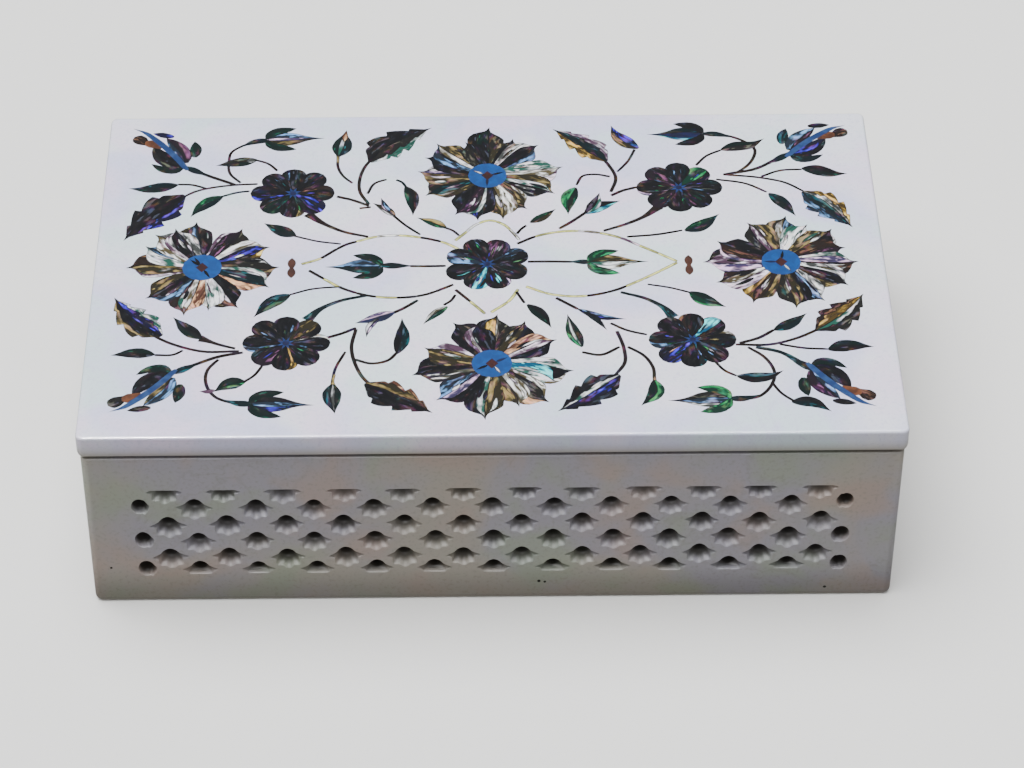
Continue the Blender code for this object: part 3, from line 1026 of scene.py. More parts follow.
@dataclass
class BoxBody(RoundedBlock):
    """The hollow marble box and its four carved walls."""

    low: Vector
    high: Vector
    marble: bpy.types.Material
    wall: float = 7.5
    floor: float = 7.5
    corner_radius: float = 1.8
    cavity_radius: float = 4.0
    foot_radius: float = 1.5
    rim_radius: float = 0.4
    corner_steps: int = 8
    edge_steps: int = 5
    rim_steps: int = 3
    side_margin: float = 12.4
    band: float = 10.7
    cell_pitch: float = 14.75
    row_pitch: float = 5.6
    hole_radius: float = 1.8
    recess_depth: float = 2.0
    sill: float = 2.2
    end_inset: float = 1.2
    end_stretch: float = 0.3
    seed: int = 11

    def cells(self, half_length: float, draw: random.Random) -> list[Cell]:
        """Set out the cells of one wall, a little uneven, as cut by hand.

        Args:
            half_length: Half the wall's length.
            draw: Source of the unevenness.

        Returns:
            The cells.
        """
        half_panel = half_length - self.side_margin
        bottom, top = self.band, self.high.z - self.band
        columns = round(2 * half_panel / self.cell_pitch)
        rows = round((top - bottom) / self.row_pitch)
        pitch = 2 * half_panel / columns
        made = []
        for row in range(rows + 1):
            offset = 0.5 if row % 2 == 0 else 0.0
            half = -1 if row == 0 else 0
            sill = self.sill if row == rows else 0.0
            for column in range(columns if offset else columns + 1):
                side = 0 if offset else {0: 1, columns: -1}.get(column, 0)
                inward = self.end_inset * side
                x = -half_panel + (column + offset) * pitch + inward + draw.uniform(-0.4, 0.4)
                y = top - row * (top - bottom) / rows + sill / 2
                level = bool(half or sill)
                made.append(Cell(
                    centre=(x, y + draw.uniform(-0.1, 0.1) * (1 if level else 3)),
                    hole_radius=self.hole_radius * draw.uniform(0.92, 1.08),
                    depth=self.recess_depth * draw.uniform(0.88, 1.12),
                    grow=draw.uniform(0.94, 1.04),
                    turn=0.0 if level else draw.uniform(-0.07, 0.07),
                    squash=draw.uniform(0.96, 1.06) + self.end_stretch * bool(side),
                    open_side=side, half=half, sill=sill, pierced=not (half or side)))
        return made

    def build(self) -> bpy.types.Object:
        """Build the box and set it on its body.

        Returns:
            The box.
        """
        skin = Skin()
        half_x, half_y, rim = self.high.x, self.high.y, self.high.z
        rings = [self.outer(inset, rise)
                 for inset, rise in quarter_round(self.foot_radius, self.edge_steps)]
        upper = [self.outer(inset, rim - drop)
                 for inset, drop in quarter_round(self.rim_radius, self.rim_steps)]
        cavity = [rounded_ring(half_x - self.wall, half_y - self.wall, self.cavity_radius, z,
                               self.corner_steps) for z in (rim, self.floor)]
        for first, second in (*pairwise(rings), *pairwise(upper[::-1])):
            skin.band(first, second)
        skin.band(upper[0], cavity[0], False)
        skin.face(rings[0])
        skin.face(cavity[1])
        for first, second in ((rings[-1], upper[-1]), (cavity[0], cavity[1])):
            count = self.corner_steps + 1
            for corner in range(4):
                arc = slice(corner * count, (corner + 1) * count)
                skin.band(first[arc], second[arc], True, False)
        draw = random.Random(self.seed)
        for side in range(4):
            self.carve_wall(skin, side, draw)
        return hand_in(skin.make("carved_box_body", self.marble), "marble", "box_body")

    def carve_wall(self, skin: Skin, side: int, draw: random.Random) -> None:
        """Carve one wall and close its inner and outer faces.

        Args:
            skin: Where the faces go.
            side: Quarter turns from the front wall.
            draw: Source of the unevenness.
        """
        half_length, distance = ((self.high.x, self.high.y) if side % 2 == 0
                                 else (self.high.y, self.high.x))
        turn = side * pi / 2

        def lift(x: float, y: float, depth: float = 0.0) -> Point3:
            """Place of a point of the wall's own plane, at a depth in the wall."""
            out = -(distance - depth)
            return (x * cos(turn) - out * sin(turn), x * sin(turn) + out * cos(turn), y)

        mouths, ends = [], []
        for cell in self.cells(half_length, draw):
            mouth, end = cell.carve(skin, lift, self.wall)
            mouths.append(mouth)
            if end:
                ends.append(end)
        reach = half_length - self.corner_radius
        low, high = self.foot_radius, self.high.z - self.rim_radius
        skin.fill([(-reach, low), (reach, low), (reach, high), (-reach, high)], mouths, lift)
        reach = half_length - self.wall - self.cavity_radius
        low, high = self.floor, self.high.z
        skin.fill([(-reach, low), (reach, low), (reach, high), (-reach, high)], ends,
                  lambda x, y: lift(x, y, self.wall))


@dataclass
class InlayPattern:
    """The whole inlay: each point of the lid's top is its topmost strip's or the marble's."""

    top: float
    thickness: float = 1.2
    blades: list[Blade] = field(default_factory=list)
    pieces: list[str] = field(default_factory=list)

    def lay(self, piece: str, blades: Iterable[Blade]) -> None:
        """Lay the strips of one piece over what lies there.

        Args:
            piece: Name of the piece.
            blades: Its strips.
        """
        for blade in blades:
            blade.seed = len(self.blades) + 1.0
            self.blades.append(blade)
            self.pieces.append(piece)

    def cut(self, border: Sequence[Point]) -> None:
        """Cut the lid's top along every strip's edge.

        Args:
            border: Outline of the flat top.
        """
        lines = [line for blade in self.blades
                 for line in ((blade.outline, True), (blade.middle, False))]
        self.spots, faces = triangulate([*lines, (border, True)], 1e-4)
        a, b, c = (self.spots[faces[:, i]] for i in range(3))
        (bx, by), (cx, cy) = (b - a).T, (c - a).T
        below = bx * cy - by * cx < 0
        faces[below] = faces[below][:, ::-1]
        self.faces = faces
        middles = (a + b + c) / 3
        self.owner = np.full(len(faces), -1)
        for number, blade in enumerate(self.blades):
            self.owner[within(middles, blade.outline)] = number

    def make(self, piece: str, materials: dict[Finish, bpy.types.Material]) -> bpy.types.Object:
        """Make one piece of the cut pattern.

        Args:
            piece: Its name.
            materials: Material of each finish.

        Returns:
            The piece, a flush slab with its strips' grain, tint and flash stored on its corners.
        """
        numbers = [i for i, name in enumerate(self.pieces) if name == piece]
        chosen = np.isin(self.owner, numbers)
        faces, owner = self.faces[chosen], self.owner[chosen]
        grain = np.zeros((len(faces), 3, 3))
        form = np.zeros((len(faces), 3, 3))
        for number in np.unique(owner):
            rows = owner == number
            blade = self.blades[number]
            found = blade.locate(self.spots[faces[rows].ravel()]).reshape(-1, 3, 3)
            grain[rows] = np.dstack((found[..., :2], np.full(found.shape[:2], blade.seed)))
            form[rows, :, 0] = found[..., 2]
            form[rows, :, 1] = blade.shell.glow
        used, local = np.unique(faces, return_inverse=True)
        upper = local.reshape(faces.shape).tolist()
        count = len(used)
        points = [(*spot, z) for z in (self.top, self.top - self.thickness)
                  for spot in self.spots[used]]
        known = sides_of(upper)
        mesh_faces = upper + [[i + count for i in tri[::-1]] for tri in upper]
        corners = [(row, k) for order in ((0, 1, 2), (2, 1, 0)) for row in range(len(upper))
                   for k in order]
        shells = [self.blades[number].shell for number in owner]
        kinds = [shell.finish.value for shell in shells] * 2
        for row, tri in enumerate(upper):
            for k, ahead in ((0, 1), (1, 2), (2, 0)):
                a, b = tri[k], tri[ahead]
                if (b, a) not in known:
                    mesh_faces.append([b, a, a + count, b + count])
                    corners += [(row, ahead), (row, k), (row, k), (row, ahead)]
                    kinds.append(kinds[row])
        mesh = bpy.data.meshes.new(piece)
        mesh.from_pydata([Vector(point) * MM for point in points], [], mesh_faces)
        rows, ks = np.array(corners).T
        tints = np.array([shell.tint for shell in shells])[rows]
        flashes = np.array([shell.flash for shell in shells])[rows]
        for name, kind, key, values in (("grain", "FLOAT_VECTOR", "vector", grain[rows, ks]),
                                        ("form", "FLOAT_VECTOR", "vector", form[rows, ks]),
                                        ("tint", "FLOAT_COLOR", "color", tints),
                                        ("flash", "FLOAT_COLOR", "color", flashes)):
            store = mesh.attributes.new(name, kind, "CORNER")
            store.data.foreach_set(key, values.astype(np.float32).ravel())
        for finish in Finish:
            mesh.materials.append(materials[finish])
        mesh.polygons.foreach_set("material_index", kinds)
        mesh.update()
        return put(piece, mesh)


@dataclass
class Lid(RoundedBlock):
    """The lift-off lid, with a pocket cut for every piece of the inlay."""

    low: Vector
    high: Vector
    marble: bpy.types.Material
    overhang: float
    wall: float
    cavity_radius: float
    slab: float = 7.3
    top_radius: float = 0.8
    lower_radius: float = 2.2
    corner_radius: float = 1.8
    lip_chamfer: float = 0.6
    lip_clearance: float = 0.6
    bedding: float = 0.1
    corner_steps: int = 8
    edge_steps: int = 6

    def border(self) -> list[Point]:
        """Outline of the flat top."""
        return [point[:2] for point in self.outer(self.top_radius, self.high.z)]

    def build(self, pattern: InlayPattern) -> bpy.types.Object:
        """Build the lid around the cut pattern and set it on its body.

        Args:
            pattern: The inlay, cut along its edges.

        Returns:
            The lid.
        """
        skin = Skin()
        top, bottom = self.high.z, self.high.z - self.slab
        inwards = self.overhang + self.wall + self.lip_clearance
        lip = ((self.lip_chamfer, self.low.z), (0.0, self.low.z + self.lip_chamfer),
               (0.0, bottom))
        rings = [rounded_ring(self.high.x - inwards - inset, self.high.y - inwards - inset,
                              self.cavity_radius, z, self.corner_steps) for inset, z in lip]
        skin.face(rings[0])
        for first, second in pairwise(rings):
            skin.band(first, second, False)
        outside = [self.outer(inset, bottom + rise)
                   for inset, rise in quarter_round(self.lower_radius, self.edge_steps)]
        outside += [self.outer(inset, top - drop)
                    for inset, drop in quarter_round(self.top_radius, self.edge_steps)[::-1]]
        skin.band(rings[-1], outside[0], False)
        for first, second in pairwise(outside):
            skin.band(first, second)
        floor = top - pattern.thickness - self.bedding
        spots, faces, owned = pattern.spots, pattern.faces, pattern.owner >= 0
        for face, low in zip(faces, owned):
            skin.face([(*spots[i], floor if low else top) for i in face])
        pocket = sides_of(faces[owned].tolist())
        for a, b in pocket:
            if (b, a) not in pocket:
                skin.face([(*spots[a], top), (*spots[b], top), (*spots[b], floor),
                           (*spots[a], floor)])
        return hand_in(skin.make("polished_lid", self.marble), "marble", "lid")


def polar(centre: Point, degrees: float, reach: float) -> Point:
    """Point at a distance in a direction from another."""
    return (centre[0] + reach * cos(radians(degrees)), centre[1] + reach * sin(radians(degrees)))


def across(centre: Point, degrees: float, radius: float) -> list[Point]:
    """Spine right across a middle, from a direction to the opposite one."""
    return [polar(centre, degrees, radius), polar(centre, degrees - 180, radius)]


def halves(spine: Sequence[Point], profile: Profile, half_width: float, shells: Sequence[Shell],
           split: float = 0.0, teeth: int = 0) -> list[Blade]:
    """Split a leaf or petal lengthwise into strips of several shells, the bright ones narrower.

    Args:
        spine: Its spine from root to tip.
        profile: How its width runs.
        half_width: Half its greatest width.
        shells: Its strips from left to right.
        split: Shift of the joints to the left.
        teeth: Teeth along its edges.

    Returns:
        One blade for each strip.
    """
    parts = np.array([BRIGHT_SHARE if shell.glow > BRIGHT_GLOW else 1.0 for shell in shells])
    cuts = 1.0 - 2.0 * np.concatenate(([0.0], np.cumsum(parts))) / parts.sum()
    cuts[1:-1] += split
    return [Blade(spine, profile, half_width, shell, (low, high), teeth)
            for shell, (high, low) in zip(shells, pairwise(cuts.tolist()))]


def slivers(spine: Sequence[Point], profile: Profile, half_width: float, shells: Sequence[Shell],
            count: int, draw: random.Random) -> list[Blade]:
    """Let narrow pointed strips into a leaf or petal.

    Args:
        spine: Its spine from root to tip.
        profile: How its width runs.
        half_width: Half its greatest width.
        shells: Shells to choose from.
        count: How many strips.
        draw: Source of their places.

    Returns:
        One blade for each strip.
    """
    made = []
    for _ in range(count):
        start, place = draw.uniform(0.18, 0.52), draw.uniform(-0.8, 0.62)
        end = min(start + draw.uniform(0.18, 0.42), 0.86)
        made.append(Blade(spine, profile, half_width, draw.choice(shells),
                          (place, place + draw.uniform(0.12, 0.30)), span=(start, end)))
    return made


@dataclass
class Stem:
    """A thin strip of dark shell along a curve, thicker where it meets a leaf if it sprouts."""

    points: Sequence[Point]
    shell: Shell = Shell.BARK
    half_width: float = 0.40
    profile: Profile = Profile.STEM

    def blades(self) -> list[Blade]:
        """Its one strip."""
        return [Blade(self.points, self.profile, self.half_width, self.shell)]


@dataclass
class Vine:
    """A long curve of short lengths, cream and dark by turns."""

    points: Sequence[Point]
    shells: Sequence[Shell]
    stretch: float = 7.0
    half_width: float = 0.46

    def blades(self) -> list[Blade]:
        """Cut it into lengths, end to end.

        Returns:
            One blade for each length.
        """
        points = np.array(self.points, float)
        keys = run_keys(points)
        count = max(round(keys[-1] / self.stretch), 1)
        made = []
        for i, ends in enumerate(pairwise(np.linspace(0, keys[-1], count + 1))):
            route = hermite(keys, points, np.linspace(*ends, 6))
            made.append(Blade([tuple(point) for point in route], Profile.STEM, self.half_width,
                              self.shells[i % len(self.shells)]))
        return made


@dataclass
class Leaf:
    """A plain pointed leaf, its strips joined down the vein."""

    points: Sequence[Point]
    half_width: float = 1.9
    shells: Sequence[Shell] = (Shell.FOREST, Shell.TEAL)
    teeth: int = 0
    split: float = 0.1

    def blades(self) -> list[Blade]:
        """Its strips."""
        profile = Profile.BROAD if self.teeth else Profile.LEAF
        return halves(self.points, profile, self.half_width, self.shells, self.split, self.teeth)


@dataclass
class Bud:
    """A cup of two curling sepals with a long pointed petal between them."""

    base: Point
    tip: Point
    sepals: Shell
    petals: Sequence[Shell]
    half_width: float = 4.9

    def blades(self) -> list[Blade]:
        """Cut the petal first and the sepals over it.

        Returns:
            Its strips.
        """
        run = np.subtract(self.tip, self.base)
        side = np.array((-run[1], run[0])) / np.hypot(*run) * self.half_width

        def at(along: float, across: float) -> Point:
            """Point at shares of the bud's length and half width."""
            return tuple(np.array(self.base) + run * along + side * across)

        made = halves((at(-0.01, 0), at(0.35, 0), at(0.62, 0.02), at(1.0, 0.0)), Profile.SPEAR,
                      self.half_width * 0.60, self.petals)
        for way in (1, -1):
            spine = (at(-0.02, 0.04 * way), at(0.03, 0.38 * way), at(0.14, 0.66 * way),
                     at(0.29, 0.79 * way), at(0.50, 0.92 * way))
            made.append(Blade(spine, Profile.CRESCENT, self.half_width * 0.31, self.sepals))
        return made


@dataclass
class Iris:
    """A corner flower: a blue blade of stone with curled shell lobes on both sides."""

    root: Point
    tip: Point
    side: int
    lobes: Sequence[Shell]
    stripe: Shell = Shell.AZURE
    half_width: float = 0.9

    def blades(self) -> list[Blade]:
        """Cut the lobes first and the stone blade over them.

        Returns:
            Its strips.
        """
        run = np.subtract(self.tip, self.root)
        length = hypot(*run)
        ahead = run / length
        left = np.array((-ahead[1], ahead[0])) * self.side

        def at(along: float, across: float) -> Point:
            """Point in millimetres ahead of the root and to the outer side."""
            return tuple(np.array(self.root) + ahead * along + left * across)

        def cut(spots: Sequence[Point], profile: Profile, half_width: float,
                shell: Shell) -> Blade:
            """Blade along points given as those of `at` are."""
            return Blade([at(*spot) for spot in spots], profile, half_width, shell)

        curl, drop = Profile.CRESCENT, Profile.DROP
        inner, outer, wing, sepal, end = self.lobes
        body = (at(1.2, -1.0), at(4.5, -2.5), at(9.0, -2.9), at(13.4, -2.7))
        side = (at(0.6, 0.8), at(4.0, 2.4), at(8.0, 2.7), at(12.6, 1.9))
        stripe = ((-1.5, 0.3), (5, -0.2), (length - 3, 0.1), (length, 0.5), (length + 3.8, 2.2))
        return [
            *halves(body, curl, 2.3, (Shell.STEEL, inner), 0.2 * self.side),
            *halves(side, curl, 2.4, (outer, Shell.NIGHT), 0.3 * self.side),
            cut(((12.6, -4.6), (15.0, -2.6), (17.2, -0.9)), curl, 1.1, wing),
            cut(((13.0, 2.4), (16.0, 3.2), (18.9, 3.9)), drop, 1.9, end),
            cut(((10.4, 0.9), (12.8, 1.7), (15.4, 2.6)), drop, 1.5, Shell.RUST),
            cut(((1.8, -4.2), (4.6, -6.4), (7.6, -8.0)), curl, 1.6, sepal),
            cut(((0.0, 0.6), (0.2, 3.2), (2.4, 5.2), (6.4, 6.6)), curl, 1.35, sepal),
            cut(stripe, Profile.STRIPE, self.half_width, self.stripe),
        ]


@dataclass
class Rosette:
    """A small flower of eight round lobes about a blue star."""

    name: str
    centre: Point
    reach: float
    lobes: Sequence[tuple[Shell, Shell]]
    turn: float = 0.0
    stretch: float = 0.08
    lobe_share: float = 0.325
    star_reach: float = 2.4
    star_half_width: float = 0.36
    hub_radius: float = 0.85
    glints: Sequence[Shell] = (Shell.TEAL, Shell.LEAF, Shell.VIOLET)

    def blades(self) -> list[Blade]:
        """Cut dark lobes with bright slivers let in, then the star and its hub.

        Returns:
            Its strips.
        """
        made, draw = [], random.Random(self.name)
        step, wide = 360 / len(self.lobes), self.reach * self.lobe_share
        for i, (shell, accent) in enumerate(self.lobes):
            angle = self.turn + i * step
            reach = self.reach * (1 + self.stretch * cos(radians(angle)) ** 2)
            reach *= draw.uniform(0.97, 1.03)
            spine = [polar(self.centre, angle, share * reach) for share in (0.05, 0.5, 1.0)]
            made += halves(spine, Profile.LOBE, wide, (shell, Shell.NIGHT), 0.4 * (-1) ** i)
            accents = (accent, Shell.STEEL, Shell.SMOKE)
            made += slivers(spine, Profile.LOBE, wide, accents, 3, draw)
            made += slivers(spine, Profile.LOBE, wide, self.glints, 2, draw)
        for i in range(len(self.lobes)):
            angle = self.turn + (i + 0.5) * step
            spine = [polar(self.centre, angle, reach) for reach in (0.0, 1.0, self.star_reach)]
            made.append(Blade(spine, Profile.LEAF, self.star_half_width, Shell.STAR))
        made.append(Blade(across(self.centre, 180, self.hub_radius), Profile.DISC,
                          self.hub_radius, Shell.NAVY))
        return made


@dataclass
class Flower:
    """A large flower: pointed petals of two or three shells about a blue disc and red lozenge."""

    name: str
    centre: Point
    petals: Sequence[tuple[float, float, Sequence[Shell]]]
    streaks: Sequence[tuple[float, Shell]]
    bright: Sequence[Shell] = (Shell.SILVER, Shell.CREAM, Shell.MINT, Shell.PINK, Shell.NIGHT,
                               Shell.NIGHT)
    disc_radius: float = 5.1
    streak_half_width: float = 0.42
    lozenge: float = 1.9
    lozenge_share: float = 0.85
    petal_share: float = 4.5 / 19
    petal_lean: float = 3.0
    petal_split: float = 0.16

    def petal_blades(self) -> list[Blade]:
        """Cut the petals, each given as its direction, reach and shells, with slivers let in.

        Returns:
            Their strips.
        """
        made, draw = [], random.Random(self.name)
        for i, (angle, reach, shells) in enumerate(self.petals):
            lean = self.petal_lean * (-1) ** i
            spine = [polar(self.centre, angle + turn, share * reach)
                     for turn, share in ((0, 0.18), (lean, 0.5), (lean, 0.78), (0, 1.0))]
            wide = self.petal_share * reach
            split = self.petal_split * (-1) ** (i // 2)
            made += halves(spine, Profile.PETAL, wide, shells, split)
            made += slivers(spine, Profile.PETAL, wide, self.bright, 3, draw)
        return made

    def disc_blades(self) -> list[Blade]:
        """Cut the disc of blue stone with thin streaks let into it.

        Returns:
            Its strips.
        """
        made = [Blade(across(self.centre, 180, self.disc_radius), Profile.DISC,
                      self.disc_radius, Shell.BLUE)]
        for angle, shell in self.streaks:
            spine = [polar(self.centre, angle, reach) for reach in (1.2, 2.8, 4.7)]
            made.append(Blade(spine, Profile.LEAF, self.streak_half_width, shell))
        return made

    def lozenge_blades(self) -> list[Blade]:
        """Red lozenge at the middle."""
        return [Blade(across(self.centre, 90, self.lozenge), Profile.LOZENGE,
                      self.lozenge * self.lozenge_share, Shell.RED)]


S = Shell

FLOWERS = {
    "left": ((
        (97, 18.6, (S.OLIVE, S.STEEL, S.NIGHT)), (58, 18.4, (S.PINK, S.PLUM, S.SMOKE)),
        (25, 19.0, (S.CREAM, S.VIOLET, S.GOLD)), (0, 20.0, (S.SMOKE, S.OLIVE)),
        (-25, 19.4, (S.MINT, S.TEAL, S.SALMON)), (-58, 19.0, (S.NIGHT, S.BROWN)),
        (-82, 17.2, (S.MINT, S.CREAM)), (-101, 19.2, (S.SALMON, S.CREAM, S.BROWN)),
        (-139, 18.4, (S.STEEL, S.NIGHT, S.OLIVE)), (180, 19.6, (S.PINK, S.OLIVE, S.BROWN)),
        (150, 17.4, (S.MINT, S.STEEL)), (134, 18.6, (S.CREAM, S.SILVER)),
        (116, 17.6, (S.PINK, S.NIGHT, S.SILVER))),
        ((118, S.NIGHT), (135, S.NIGHT), (-62, S.NIGHT))),
    "right": ((
        (82, 18.8, (S.OLIVE, S.CREAM, S.STEEL)), (116, 17.8, (S.SMOKE, S.PINK, S.OLIVE)),
        (62, 17.0, (S.MINT, S.SILVER)), (43, 19.4, (S.OLIVE, S.NIGHT, S.SILVER)),
        (18, 18.0, (S.BROWN, S.PLUM)), (0, 20.0, (S.MINT, S.LILAC, S.BROWN)),
        (-30, 19.2, (S.SILVER, S.NIGHT, S.OLIVE)), (-57, 18.6, (S.SILVER, S.STEEL, S.NIGHT)),
        (-82, 18.6, (S.NIGHT, S.OLIVE, S.SMOKE)), (-117, 18.2, (S.OLIVE, S.BROWN, S.GOLD)),
        (-155, 19.0, (S.PINK, S.CREAM, S.BROWN)), (180, 20.2, (S.LILAC, S.PINK, S.SMOKE)),
        (152, 18.2, (S.LILAC, S.BROWN, S.NIGHT))),
        ((-58, S.SILVER), (178, S.NAVY), (80, S.NIGHT))),
    "back": ((
        (88, 20.8, (S.NIGHT, S.FOREST, S.SMOKE)), (66, 17.2, (S.OLIVE, S.NIGHT, S.PLUM)),
        (43, 19.0, (S.SILVER, S.NIGHT, S.STEEL)), (10, 20.4, (S.MINT, S.CREAM, S.PINK)),
        (-24, 19.4, (S.OLIVE, S.MINT, S.NIGHT)), (-54, 17.6, (S.CREAM, S.OLIVE, S.SMOKE)),
        (-78, 18.8, (S.CREAM, S.OLIVE)), (-98, 19.0, (S.NIGHT, S.VIOLET, S.SILVER)),
        (-118, 18.6, (S.MINT, S.PLUM, S.NIGHT)), (-153, 18.4, (S.OLIVE, S.TEAL, S.SMOKE)),
        (174, 18.6, (S.OLIVE, S.LILAC, S.SILVER)), (155, 18.4, (S.NIGHT, S.NIGHT)),
        (134, 19.4, (S.STEEL, S.CREAM, S.OLIVE)), (112, 15.5, (S.SMOKE, S.NIGHT))),
        ((18, S.NIGHT), (-92, S.NAVY), (150, S.SILVER))),
    "front": ((
        (85, 18.8, (S.NIGHT, S.GOLD, S.SMOKE)), (62, 18.2, (S.SMOKE, S.OLIVE, S.NIGHT)),
        (28, 18.6, (S.SALMON, S.PINK, S.NIGHT)), (-8, 20.6, (S.MINT, S.NIGHT, S.CREAM)),
        (-24, 17.4, (S.CYAN, S.MINT)), (-46, 20.2, (S.CREAM, S.SMOKE, S.SALMON)),
        (-68, 17.4, (S.CREAM, S.OLIVE)), (-95, 20.8, (S.OLIVE, S.MINT, S.NIGHT)),
        (-136, 19.4, (S.NIGHT, S.LILAC, S.STEEL)), (-168, 20.4, (S.SMOKE, S.NIGHT)),
        (160, 18.0, (S.OLIVE, S.PINK)), (122, 18.4, (S.NIGHT, S.SMOKE, S.PLUM)),
        (103, 15.8, (S.PINK, S.NIGHT))),
        ((-150, S.NIGHT), (30, S.NAVY), (-60, S.SILVER))),
}

ROSETTES = {
    "back_left": (
        (S.BROWN, S.SALMON), (S.NIGHT, S.BROWN), (S.NIGHT, S.VIOLET), (S.NIGHT, S.SMOKE),
        (S.VIOLET, S.NIGHT), (S.FOREST, S.NIGHT), (S.OLIVE, S.SMOKE), (S.VIOLET, S.STEEL)),
    "back_right": (
        (S.NIGHT, S.BROWN), (S.LEAF, S.NIGHT), (S.NIGHT, S.NIGHT), (S.PLUM, S.NIGHT),
        (S.LILAC, S.FOREST), (S.PLUM, S.OLIVE), (S.NIGHT, S.OLIVE), (S.NIGHT, S.PLUM)),
    "front_left": (
        (S.CREAM, S.NIGHT), (S.OLIVE, S.PLUM), (S.NIGHT, S.VIOLET), (S.NIGHT, S.NIGHT),
        (S.STEEL, S.NIGHT), (S.PLUM, S.NIGHT), (S.GOLD, S.NIGHT), (S.NIGHT, S.FOREST)),
    "front_right": (
        (S.CREAM, S.OLIVE), (S.CYAN, S.NIGHT), (S.BROWN, S.GOLD), (S.NIGHT, S.NIGHT),
        (S.STEEL, S.NIGHT), (S.VIOLET, S.SALMON), (S.TEAL, S.NIGHT), (S.NIGHT, S.SILVER)),
    "middle": (
        (S.STEEL, S.VIOLET), (S.PLUM, S.MINT), (S.BROWN, S.LEAF), (S.STEEL, S.SILVER),
        (S.NIGHT, S.CYAN), (S.CYAN, S.MINT), (S.LILAC, S.CYAN), (S.NIGHT, S.MINT)),
}

VINES = (
    Vine(((-48.5, 1.5), (-44, 3.5), (-40, 7), (-37.5, 9), (-33.5, 10.8), (-29.5, 12.3), (-25, 12.8),
          (-20, 12.3), (-15, 11), (-12, 9.8), (-8, 7)),
         (S.VINE, S.BARK, S.BARK, S.VINE, S.CREAM, S.VINE, S.BARK, S.VINE), 5.8),
    Vine(((7, 9), (12, 12), (20, 14), (27, 13.5), (33, 11.5), (40, 7), (48, 1.5)),
         (S.BARK, S.VINE, S.VINE, S.CREAM, S.VINE, S.PINK, S.VINE, S.VINE), 5.9),
    Vine(((-46.5, -1), (-43, -4), (-38, -8), (-31.5, -11), (-24, -12), (-17, -11), (-12, -8.5),
          (-9.5, -7)), (S.BARK, S.VINE, S.BARK, S.BARK, S.VINE, S.BARK, S.BARK, S.BARK), 5.3),
    Vine(((9, -8), (15, -11), (22, -12), (31, -10), (38, -6), (48, 1)),
         (S.VINE, S.VINE, S.VINE, S.BARK, S.BARK, S.VINE, S.VINE, S.VINE), 5.6),
    Vine(((-9, 10.5), (-6.5, 13.5), (-3.5, 17), (0, 18.6), (3.5, 17), (6, 13.5), (7.6, 10.6)),
         (S.VINE, S.CREAM, S.VINE), 5.0),
    Vine(((-9, -9), (-5, -14), (-1.5, -18.5)), (S.BARK, S.VINE)),
    Vine(((0, -18), (5, -13), (7, -9)), (S.VINE,)),
)

